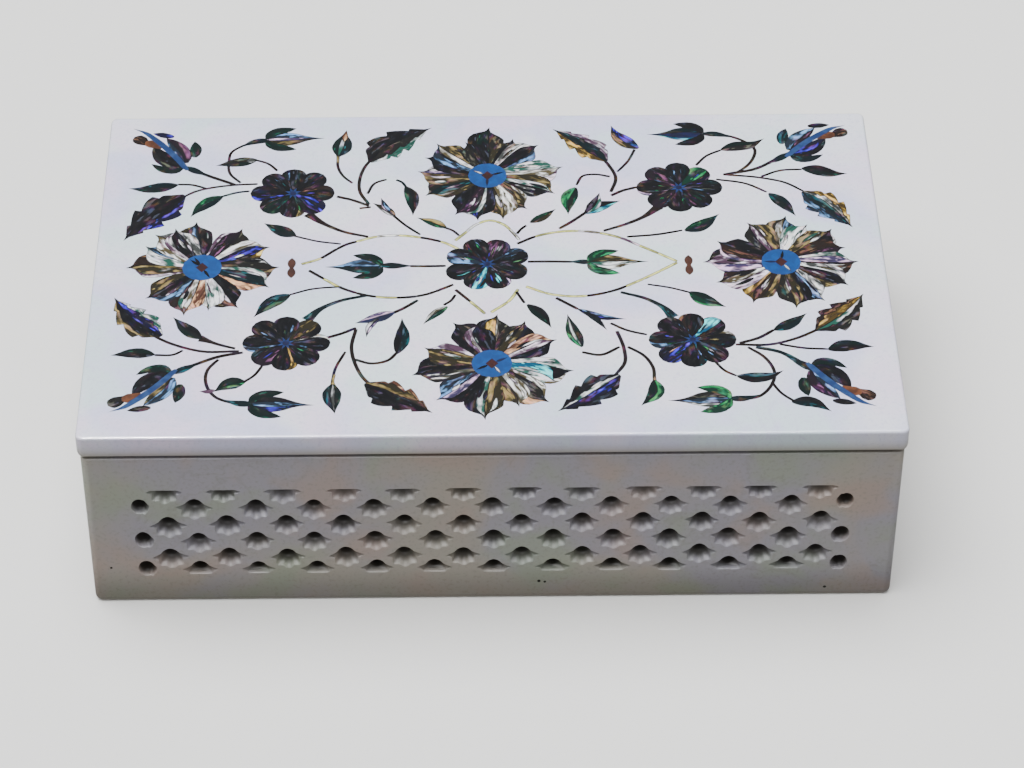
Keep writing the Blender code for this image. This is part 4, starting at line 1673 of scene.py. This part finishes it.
SPRAYS = {
    "middle": (
        Stem(((-28, 0.7), (-24, 0.6), (-18.6, 0.4)), S.TEAL, 1.25, Profile.SPEAR),
        Stem(((-20.6, 0.4), (-15.5, 0.3), (-11.4, 0.4)), S.BARK, 0.46),
        Stem(((9.6, 1.8), (15, 1.8), (21.4, 1.6)), S.BARK, 0.46),
        Stem(((26, 1.5), (23.4, 1.6), (19, 1.6)), S.TEAL, 1.0, Profile.SPEAR),
    ),
    "back_left": (
        Stem(((-58.6, 53.2), (-62.4, 52.5), (-67.6, 49.2)), S.TEAL, 1.15, Profile.SPEAR),
        Stem(((-80.2, 41.8), (-77.4, 40), (-73, 37.4)), S.TEAL, 1.15, Profile.SPEAR),
        Stem(((-61, 34.5), (-68, 34), (-78, 31), (-80.5, 29))),
        Stem(((-82, 34.5), (-78.3, 34.3), (-74.5, 32.8))),
        Stem(((-63, 31.5), (-66, 31), (-70.5, 29.2)), S.TEAL),
        Stem(((-65.5, 35), (-68.5, 39), (-69, 44), (-68.5, 48), (-66, 50.5), (-62, 52.5),
              (-58.5, 53.2))),
        Stem(((-56, 40), (-58.5, 43), (-62, 44.7))),
        Stem(((-80.5, 42), (-74, 38), (-67, 34.3)), S.BARK, 0.55),
        Stem(((-40, 46), (-40, 41.5), (-38.5, 37.5), (-36, 34.5))),
        Stem(((-31.5, 25.5), (-34, 31), (-34, 37), (-33, 41), (-31, 45)), S.BARK, 0.48),
        Stem(((-32, 30), (-30, 34.5), (-27, 36))),
        Stem(((-24.5, 35.8), (-23, 34.8), (-21.8, 32.5)), S.TEAL),
        Stem(((-40, 29), (-36, 27.5), (-31.5, 25)), S.BARK, 0.5),
        Stem(((-34, 24), (-31, 24.5))),
        Stem(((-25.5, 21.5), (-22, 17), (-18, 13))),
        Stem(((-12, 16), (-9.5, 14.5), (-8, 12.5))),
        Stem(((-51, 13), (-44, 10.5), (-38.5, 9.5)), S.BARK, 0.34),
        Stem(((-47.5, 22), (-44, 18.5), (-38, 14.5), (-31.5, 12.3)), S.BARK, 0.55, Profile.SPROUT),
        Leaf(((-82, 34.4), (-87, 33.2), (-91, 32.6), (-95, 33)), 2.0),
        Leaf(((-70, 29.4), (-73.5, 27), (-76.5, 23.5), (-78, 20.8)), 2.0, (S.TEAL, S.LEAF)),
        Leaf(((-61.5, 44.7), (-66, 43.8), (-72.5, 42.3)), 1.9, (S.FOREST, S.SMOKE)),
        Leaf(((-62, 44.8), (-63, 44.5), (-64.6, 44)), 1.1, (S.SILVER,)),
        Stem(((-39.9, 47.4), (-40.1, 45), (-40, 43)), S.OLIVE, 0.42, Profile.SPROUT),
        Leaf(((-39.9, 46), (-39, 50.5), (-38.2, 56.8)), 2.7, (S.FOREST, S.MINT, S.TEAL)),
        Leaf(((-38.6, 52.4), (-38.4, 54.6), (-38, 57.4)), 0.8, (S.SALMON,)),
        Leaf(((-22, 33), (-20.4, 29), (-20, 25), (-20, 20.8)), 1.9, (S.NIGHT, S.FOREST)),
        Leaf(((-24.6, 20.6), (-27, 23.4), (-30.6, 26.2)), 1.3, (S.SILVER, S.OLIVE)),
        Leaf(((-26, 22.4), (-27.4, 25), (-28.4, 28.4)), 0.9, (S.LILAC, S.STEEL)),
        Leaf(((-11.3, 15.8), (-14, 17.6), (-19, 20)), 1.5, (S.LEAF, S.OLIVE)),
        Leaf(((-50.3, 12.9), (-54, 15), (-58.8, 18.2)), 2.1, (S.TEAL, S.FOREST)),
    ),
    "back_right": (
        Stem(((57.6, 54.6), (61, 54.4), (67, 52.2)), S.TEAL, 1.15, Profile.SPEAR),
        Stem(((80, 45.8), (77.6, 43.9), (72.6, 40.5)), S.TEAL, 1.15, Profile.SPEAR),
        Stem(((80, 46), (76, 43), (71, 39.5), (62, 37)), S.BARK, 0.55),
        Stem(((57, 54.4), (63, 54), (68, 51.5), (71, 48), (70, 43), (67, 39), (65, 37.5)),
             S.BARK, 0.46),
        Stem(((55, 41), (58, 45), (62, 47.5))),
        Stem(((72, 36), (77, 38.5), (83, 39))),
        Stem(((62, 37), (72, 35.5), (78, 33.5), (83, 29.5))),
        Stem(((60, 35), (68, 33), (73, 29.5))),
        Stem(((39, 48), (37, 43), (34, 38.5))),
        Stem(((32, 30), (33.5, 36), (32, 41), (30.5, 44)), S.BARK, 0.5),
        Stem(((32, 36.5), (28, 37.5), (25, 37), (23, 33))),
        Stem(((32, 28.5), (35, 30.5), (39, 32)), S.BARK, 0.5),
        Stem(((25, 21.5), (21.5, 18), (18, 15)), S.BARK, 0.5),
        Stem(((7, 13), (8, 14.8), (9.5, 16.5))),
        Stem(((35.5, 11.5), (44, 12.5), (50, 14))),
        Stem(((44.5, 24), (40, 19.5), (36, 17), (29.5, 14)), S.BARK, 0.55, Profile.SPROUT),
        Leaf(((62, 47.6), (66, 49), (70, 49.6), (74, 52.4)), 2.0, (S.FOREST, S.SMOKE)),
        Leaf(((83, 39.4), (87, 38.6), (91, 37.2), (95, 37)), 2.2, (S.NIGHT, S.FOREST)),
        Leaf(((73.5, 29), (76.5, 25.5), (80, 19.4)), 1.9, (S.TEAL, S.FOREST)),
        Leaf(((40, 48.4), (37, 51), (34.5, 54), (33, 58.4)), 2.3, (S.OLIVE, S.VIOLET)),
        Leaf(((22.8, 32), (21, 28), (20.5, 20.8)), 2.2, (S.FOREST, S.LEAF)),
        Leaf(((24.8, 21.2), (28, 23.6), (34.4, 26.4)), 2.0, (S.NIGHT, S.CYAN)),
        Leaf(((25.4, 21.6), (27.6, 25), (29, 29.8)), 1.7, (S.NIGHT, S.MINT)),
        Leaf(((10.5, 17.6), (13.5, 19.6), (17.4, 23.2)), 1.4, (S.LEAF, S.OLIVE)),
        Leaf(((50.6, 13.8), (54.5, 15.6), (60, 20.6)), 2.1, (S.LEAF, S.TEAL)),
    ),
    "front_left": (
        Stem(((-58.8, -51.6), (-62.4, -51.3), (-67.4, -49.4)), S.TEAL, 1.15, Profile.SPEAR),
        Stem(((-78.8, -40), (-76.2, -38.4), (-71.5, -35.8)), S.TEAL, 1.15, Profile.SPEAR),
        Stem(((-63, -32), (-72, -32), (-80, -29), (-86, -25)), S.BARK, 0.46),
        Stem(((-73, -27), (-68, -29.5), (-64, -31)), S.BARK, 0.5, Profile.SPROUT),
        Stem(((-84, -33.2), (-79, -33), (-77, -31.5))),
        Stem(((-79, -40), (-73, -36.5), (-68, -34), (-62, -32.5)), S.BARK, 0.55),
        Stem(((-68, -35), (-70.5, -39), (-70, -46), (-68, -49), (-64, -51), (-59, -51.6)),
             S.BARK, 0.46),
        Stem(((-61.4, -43.6), (-58.8, -41), (-57, -37.5))),
        Stem(((-39.5, -44), (-39, -39.5), (-36.5, -32.5))),
        Stem(((-34, -24), (-35, -31), (-34, -37), (-31.5, -43), (-28.5, -46.5)), S.BARK, 0.5),
        Stem(((-34, -35.5), (-30, -37), (-26, -36), (-23.3, -32.5)), S.BARK, 0.46),
        Stem(((-41.5, -27.3), (-37.5, -25.6), (-34, -23.5)), S.BARK, 0.5),
        Stem(((-26.5, -19), (-22.5, -16.4), (-18.5, -13)), S.BARK, 0.5),
        Stem(((-12, -15), (-10.2, -13.4), (-9, -11))),
        Stem(((-51, -10.5), (-46, -8.5), (-38, -7.5)), S.BARK, 0.34),
        Stem(((-46.5, -20.5), (-43.5, -16.5), (-39, -13.4), (-31.5, -11)), S.TEAL, 0.6,
             Profile.SPROUT),
        Leaf(((-72.6, -27.2), (-76.5, -23.5), (-80.2, -18.8)), 2.0, (S.FOREST, S.NIGHT)),
        Leaf(((-84, -33), (-88, -32.4), (-95, -33.2)), 1.9, (S.NIGHT, S.FOREST)),
        Leaf(((-61, -43.4), (-64.5, -44), (-68.6, -47)), 2.2, (S.LEAF, S.FOREST)),
        Leaf(((-68.2, -46.4), (-70, -46.9), (-72.2, -46.8)), 0.8, (S.PINK,)),
        Stem(((-39.2, -46), (-39.4, -43.5), (-39, -41)), S.OLIVE, 0.42, Profile.SPROUT),
        Leaf(((-39.4, -44.6), (-39.5, -49), (-38.6, -55.4)), 2.4, (S.FOREST, S.SILVER, S.TEAL)),
        Leaf(((-23.6, -33.4), (-22.4, -28), (-22.5, -19.8)), 2.0, (S.NIGHT, S.TEAL)),
        Leaf(((-24.4, -17.6), (-29, -19.8), (-34.4, -21.8)), 1.8, (S.NAVY, S.LILAC)),
        Leaf(((-28.4, -20), (-30.6, -23), (-31.4, -27.2)), 1.0, (S.LILAC, S.SILVER)),
        Leaf(((-11, -15.6), (-14, -18.2), (-17.2, -22.4)), 1.3, (S.LEAF, S.CREAM)),
        Leaf(((-51, -10.5), (-55.5, -13.4), (-60, -19.2)), 2.1, (S.FOREST, S.TEAL)),
    ),
    "front_right": (
        Stem(((58.2, -51), (61.8, -51), (67.2, -49.2)), S.TEAL, 1.1, Profile.SPEAR),
        Stem(((80, -41), (77, -38.4), (72, -34.6)), S.TEAL, 1.2, Profile.SPEAR),
        Stem(((40, -46), (40.2, -43.5), (40, -41)), S.OLIVE, 0.42, Profile.SPROUT),
        Stem(((40, -7.5), (46, -9), (51, -11)), S.BARK, 0.34),
        Stem(((46, -20.5), (43.8, -16.8), (40, -13.5), (33, -10.5)), S.TEAL, 0.6, Profile.SPROUT),
        Stem(((6.5, -10), (8.5, -14.5))),
        Stem(((16.5, -12.5), (22, -17)), S.BARK, 0.5),
        Stem(((30, -22.5), (34, -25.2), (39, -27)), S.BARK, 0.42),
        Stem(((31.5, -25.5), (33, -32), (33, -37.5), (30.5, -42)), S.BARK, 0.5),
        Stem(((22.5, -33.4), (27, -34.5), (32, -31.5)), S.BARK, 0.46),
        Stem(((34, -31.5), (38, -35), (40, -39.5), (40, -44.4)), S.BARK, 0.46),
        Stem(((62, -30.5), (67, -28.5), (71, -25.5)), S.BARK, 0.5),
        Stem(((61, -31), (70, -31), (77, -28.5), (83.5, -24.5)), S.BARK, 0.46),
        Stem(((72, -31), (78, -32.5), (84, -33))),
        Stem(((66, -32), (72, -34), (77, -38), (80, -41)), S.TEAL, 0.6),
        Stem(((64, -32), (68, -36), (70, -42), (69, -46), (66, -50), (58, -51.6)), S.BARK, 0.46),
        Stem(((55, -36.5), (58, -41), (60.5, -42.7))),
        Stem(((69, -45), (71, -49), (74.5, -52.6))),
        Leaf(((50.6, -10.6), (54, -13.6), (59.6, -16.6)), 2.2, (S.FOREST, S.LEAF)),
        Leaf(((9.2, -15), (12.4, -18.6), (15.2, -24.2)), 1.7, (S.NIGHT, S.FOREST)),
        Leaf(((22, -17), (27, -19.8), (34.2, -21)), 1.2, (S.STEEL, S.VIOLET)),
        Leaf(((23.5, -18), (26.5, -21), (29.2, -25.4)), 0.9, (S.NIGHT, S.TEAL)),
        Leaf(((22.6, -31.4), (20.6, -26), (19.2, -18.8)), 1.9, (S.LEAF, S.MINT, S.FOREST)),
        Leaf(((40, -44), (40.4, -48), (36.4, -53.4)), 2.1, (S.LEAF, S.FOREST)),
        Leaf(((71, -25.6), (75, -23.4), (79.8, -19.2)), 1.8, (S.FOREST, S.TEAL)),
        Leaf(((84, -33.2), (88, -31.8), (95.6, -32.2)), 2.2, (S.FOREST, S.NIGHT)),
        Leaf(((60.6, -42.8), (65, -43.4), (69, -42.8), (72.4, -40.8)), 1.9, (S.TEAL, S.NIGHT)),
        Leaf(((73.4, -52.4), (78, -52.4), (83, -56)), 1.9, (S.NIGHT, S.TEAL)),
    ),
}

BUDS = {
    "left": Bud((-28.2, 0.5), (-42.5, 0.3), S.FOREST, (S.TEAL, S.STEEL)),
    "right": Bud((25.6, 1.4), (40.8, 1.5), S.LEAF, (S.OLIVE, S.MINT, S.CREAM)),
    "back_left": Bud((-59, 53.4), (-43.6, 53.8), S.FOREST, (S.STEEL, S.LILAC, S.OLIVE)),
    "back_right": Bud((57.2, 54.6), (42.4, 54.4), S.NIGHT, (S.CYAN, S.NAVY, S.TEAL)),
    "front_left": Bud((-59.2, -51.5), (-43.6, -52.2), S.FOREST, (S.NIGHT, S.STEEL, S.VIOLET)),
    "front_right": Bud((58.2, -51), (43, -51.6), S.LEAF, (S.SILVER, S.STEEL, S.SMOKE)),
}

IRISES = {
    "back_left": Iris(
        (-80.5, 42), (-91.3, 56.8), 1, (S.PLUM, S.SMOKE, S.VIOLET, S.FOREST, S.BROWN)),
    "back_right": Iris(
        (80, 45.6), (91.8, 56.8), -1, (S.PLUM, S.VIOLET, S.NIGHT, S.TEAL, S.BROWN)),
    "front_left": Iris(
        (-79, -40), (-89.8, -52.6), -1, (S.OLIVE, S.NIGHT, S.SMOKE, S.FOREST, S.SMOKE)),
    "front_right": Iris(
        (79, -39.4), (90.2, -52.8), 1, (S.PLUM, S.NIGHT, S.NIGHT, S.FOREST, S.BROWN)),
}

TEETH = 4

TOOTHED = {
    "leaf_end_back_left": Leaf(
        ((-80, 30), (-84.5, 25.5), (-88.8, 20.4), (-92.4, 15.5), (-94.8, 11.4)), 5.9,
        (S.VIOLET, S.NIGHT, S.NIGHT), TEETH),
    "leaf_end_back_right": Leaf(
        ((82.4, 29.6), (86.5, 25.6), (90.4, 20.8), (94.4, 14.6)), 5.2,
        (S.GOLD, S.SILVER, S.TEAL, S.STEEL), TEETH),
    "leaf_end_front_left": Leaf(
        ((-82.6, -26), (-87.6, -22), (-92, -17), (-95.6, -11)), 5.2,
        (S.OLIVE, S.NIGHT, S.VIOLET, S.MINT), TEETH),
    "leaf_end_front_right": Leaf(
        ((81.6, -25.8), (86.6, -21.6), (91, -17), (94.8, -11.8)), 5.2,
        (S.BROWN, S.GOLD, S.MINT, S.SMOKE), TEETH),
    "leaf_side_back_left": Leaf(
        ((-31.6, 43.4), (-28, 49), (-22.4, 53.6), (-15.2, 58)), 5.7,
        (S.NIGHT, S.NIGHT, S.SMOKE, S.MINT), TEETH),
    "leaf_side_back_right": Leaf(
        ((31.4, 43), (28, 47.6), (23, 52.4), (17.2, 57.2)), 4.6,
        (S.GOLD, S.TEAL, S.PINK), TEETH),
    "leaf_side_front_left": Leaf(
        ((-31.4, -44.4), (-26, -48.2), (-20.6, -51.4), (-14.6, -55.4)), 5.3,
        (S.SALMON, S.OLIVE, S.NIGHT, S.NIGHT), TEETH),
    "leaf_side_front_right": Leaf(
        ((31.6, -42), (26, -47), (21, -51.4), (15.8, -55.2)), 5.2,
        (S.NIGHT, S.VIOLET, S.MINT, S.NIGHT), TEETH),
}

UNEVEN = {
    "rosette_back_left": (-0.8, 0.2), "rosette_back_right": (-0.8, 1.4),
    "rosette_front_left": (-0.7, 1.2), "rosette_front_right": (-0.4, 1.3),
    "rosette_middle": (-0.8, 1.0), "flower_left": (0.5, 0.5), "flower_right": (0.3, 1.0),
    "flower_back": (-0.4, 0.0),
}


@dataclass
class LidInlay:
    """Lays every motif on the lid, and makes each one a piece."""

    lid: Lid
    materials: dict[Finish, bpy.types.Material]
    bead_reach: float = 4.0
    bead_half_width: float = 1.1
    rosette_reach: float = 10.4
    middle_turn: float = 22.5

    def middle_of(self, node: str) -> Point:
        """Find the middle of a frame node, moved by the little that it was set uneven.

        Args:
            node: Name of the node in the frame.

        Returns:
            Its middle seen from above.
        """
        low, high = box_of(node)
        x, y = UNEVEN.get(node.removesuffix("_collar"), (0.0, 0.0))
        return ((low.x + high.x) / 2 + x, (low.y + high.y) / 2 + y)

    def motifs(self) -> Iterable[tuple[str, str, tuple[str, ...], list[Blade]]]:
        """List the pieces in the order that they are laid in, the later ones over the others.

        Yields:
            Each piece's name, slot, the nodes that it stands for and its strips.
        """
        for i, vine in enumerate(VINES, 1):
            yield f"vine_{i}", "brown", (), vine.blades()
        for quarter, spray in SPRAYS.items():
            parts = sorted((part for part in spray if isinstance(part, Stem)),
                           key=lambda part: part.profile is not Profile.STEM)
            stems = [blade for part in parts for blade in part.blades()]
            yield f"stems_{quarter}", "brown", (), stems
            leaves = [part for part in spray if isinstance(part, Leaf)]
            for i, leaf in enumerate(leaves, 1):
                yield f"leaf_{quarter}_{i}", "dark_shell", (), leaf.blades()
        for name, leaf in TOOTHED.items():
            yield f"shell_{name}", "dark_shell", (name,), leaf.blades()
        for where, iris in IRISES.items():
            yield f"shell_iris_{where}", "blue", (f"iris_{where}",), iris.blades()
        for where, bud in BUDS.items():
            yield f"shell_bud_{where}", "shell", (f"bud_{where}",), bud.blades()
        for where in ("left", "right"):
            x, y = self.middle_of(f"bead_{where}")
            spine = [(x, y + along) for along in (-self.bead_reach, 0.0, self.bead_reach)]
            bead = Blade(spine, Profile.BEAD, self.bead_half_width, Shell.CHESTNUT)
            yield f"shell_bead_{where}", "brown", (f"bead_{where}",), [bead]
        for where, lobes in ROSETTES.items():
            node = f"rosette_{where}"
            turn = self.middle_turn if where == "middle" else 0.0
            rosette = Rosette(node, self.middle_of(node), self.rosette_reach, lobes, turn)
            yield f"shell_{node}", "dark_shell", (node,), rosette.blades()
        for where, (petals, streaks) in FLOWERS.items():
            node = f"flower_{where}"
            flower = Flower(node, self.middle_of(node + "_collar"), petals, streaks)
            yield f"shell_{node}", "shell", (node,), flower.petal_blades()
            yield f"stone_{node}_disc", "blue", (node + "_collar",), flower.disc_blades()
            yield f"stone_{node}_lozenge", "red", (node + "_centre",), flower.lozenge_blades()

    def build(self) -> None:
        """Cut the pattern, the lid with its pockets, and every piece."""
        pattern = InlayPattern(self.lid.high.z)
        kept = []
        for name, slot, nodes, blades in self.motifs():
            pattern.lay(name, blades)
            kept.append((name, slot, nodes))
        pattern.cut(self.lid.border())
        self.lid.build(pattern)
        for name, slot, nodes in kept:
            hand_in(pattern.make(name, self.materials), slot, *nodes)


@dataclass
class Studio:
    """Plain pale floor, soft overhead light and the photograph's viewpoint."""

    azimuth: float = -0.986
    elevation: float = 42.071
    roll: float = 0.185
    eye: Point3 = (-5.95, -673.44, 624.31)
    lens: float = 120.64
    sensor: float = 36.0
    floor_half: float = 4000.0
    sun_from: Point3 = (-0.22, 0.06, 1.0)
    sun_strength: float = 5.6
    sun_softness: float = 55.0
    sun_colour: Point3 = (0.95, 0.97, 1.0)
    sky: tuple[tuple[float, Colour], ...] = (
        (0.0, (0.62, 0.60, 0.56, 1.0)), (0.5, (0.30, 0.30, 0.29, 1.0)),
        (1.0, (0.42, 0.44, 0.47, 1.0)))

    def camera(self) -> None:
        """Set up the camera."""
        a, e = radians(self.azimuth), radians(self.elevation)
        back = Vector((sin(a) * cos(e), -cos(a) * cos(e), sin(e)))
        right = Vector((cos(a), sin(a), 0.0))
        turn = Matrix.Rotation(radians(self.roll), 3, back)
        axes = Matrix((turn @ right, turn @ back.cross(right), back)).transposed()
        data = bpy.data.cameras.new("camera")
        data.lens = self.lens
        data.sensor_width = self.sensor
        data.sensor_fit = "HORIZONTAL"
        made = put("camera", data)
        made.matrix_world = Matrix.Translation(Vector(self.eye) * MM) @ axes.to_4x4()
        bpy.context.scene.camera = made

    def floor(self) -> None:
        """Lay the floor."""
        skin = Skin()
        h = self.floor_half
        skin.face(((-h, -h, 0.0), (h, -h, 0.0), (h, h, 0.0), (-h, h, 0.0)))
        floor = skin.make("floor", PaleFloor().dress())
        floor.visible_diffuse = False
        floor.visible_glossy = False

    def lamp(self, name: str, place: Point3, aim: Point3, size: tuple[float, float],
             power: float) -> None:
        """Hang a rectangular lamp that shows only as a shine on polished edges.

        Args:
            name: Its name.
            place: Where it hangs.
            aim: What it points at.
            size: Its two sides.
            power: Its power in watts.
        """
        data = bpy.data.lights.new(name, "AREA")
        data.shape = "RECTANGLE"
        data.size, data.size_y = size[0] * MM, size[1] * MM
        data.energy = power
        made = put(name, data)
        made.location = Vector(place) * MM
        made.rotation_euler = (Vector(place) - Vector(aim)).to_track_quat("Z", "Y").to_euler()
        made.visible_diffuse = False

    def light(self) -> None:
        """Hang the lamps and set the sky."""
        world = bpy.data.worlds.new("studio")
        g = Graph(world, "Background")
        spot = g.node("ShaderNodeTexCoord", {}, {}).outputs["Generated"]
        rise = g.parts(spot)[2]
        level = g.node("ShaderNodeMapRange", {}, {"Value": rise, "From Min": -1.0})
        g.feed(g.shader, {"Color": g.ramp(Wire(g, level.outputs["Result"]), self.sky)})
        bpy.context.scene.world = world
        data = bpy.data.lights.new("soft_sun", "SUN")
        data.energy = self.sun_strength
        data.angle = radians(self.sun_softness)
        data.color = self.sun_colour
        sun = put("soft_sun", data)
        sun.rotation_euler = Vector(self.sun_from).to_track_quat("Z", "Y").to_euler()
        self.lamp("edge_strip", (-60, -430, 760), (-20, -62, 56), (520, 60), 7.0)
        self.lamp("edge_glint", (-190, -430, 760), (-80, -62, 56), (90, 60), 9.0)

    def build(self) -> None:
        """Set up the floor, lamps and camera."""
        self.floor()
        self.light()
        self.camera()
        log.info("studio set up")


def main() -> None:
    """Build the box, its lid and inlay, and the studio."""
    logging.basicConfig(level=logging.INFO, format="%(message)s")
    body = BoxBody(*box_of("box_body"), BODY_MARBLE.dress())
    body.build()
    lid_low, lid_high = box_of("lid")
    lid = Lid(lid_low, lid_high, LID_MARBLE.dress(), lid_high.x - body.high.x, body.wall,
              body.cavity_radius)
    LidInlay(lid, {Finish.PEARL: PearlShell().dress(), Finish.STONE: OpaqueStone().dress()}).build()
    Studio().build()


if __name__ == "__main__":
    main()
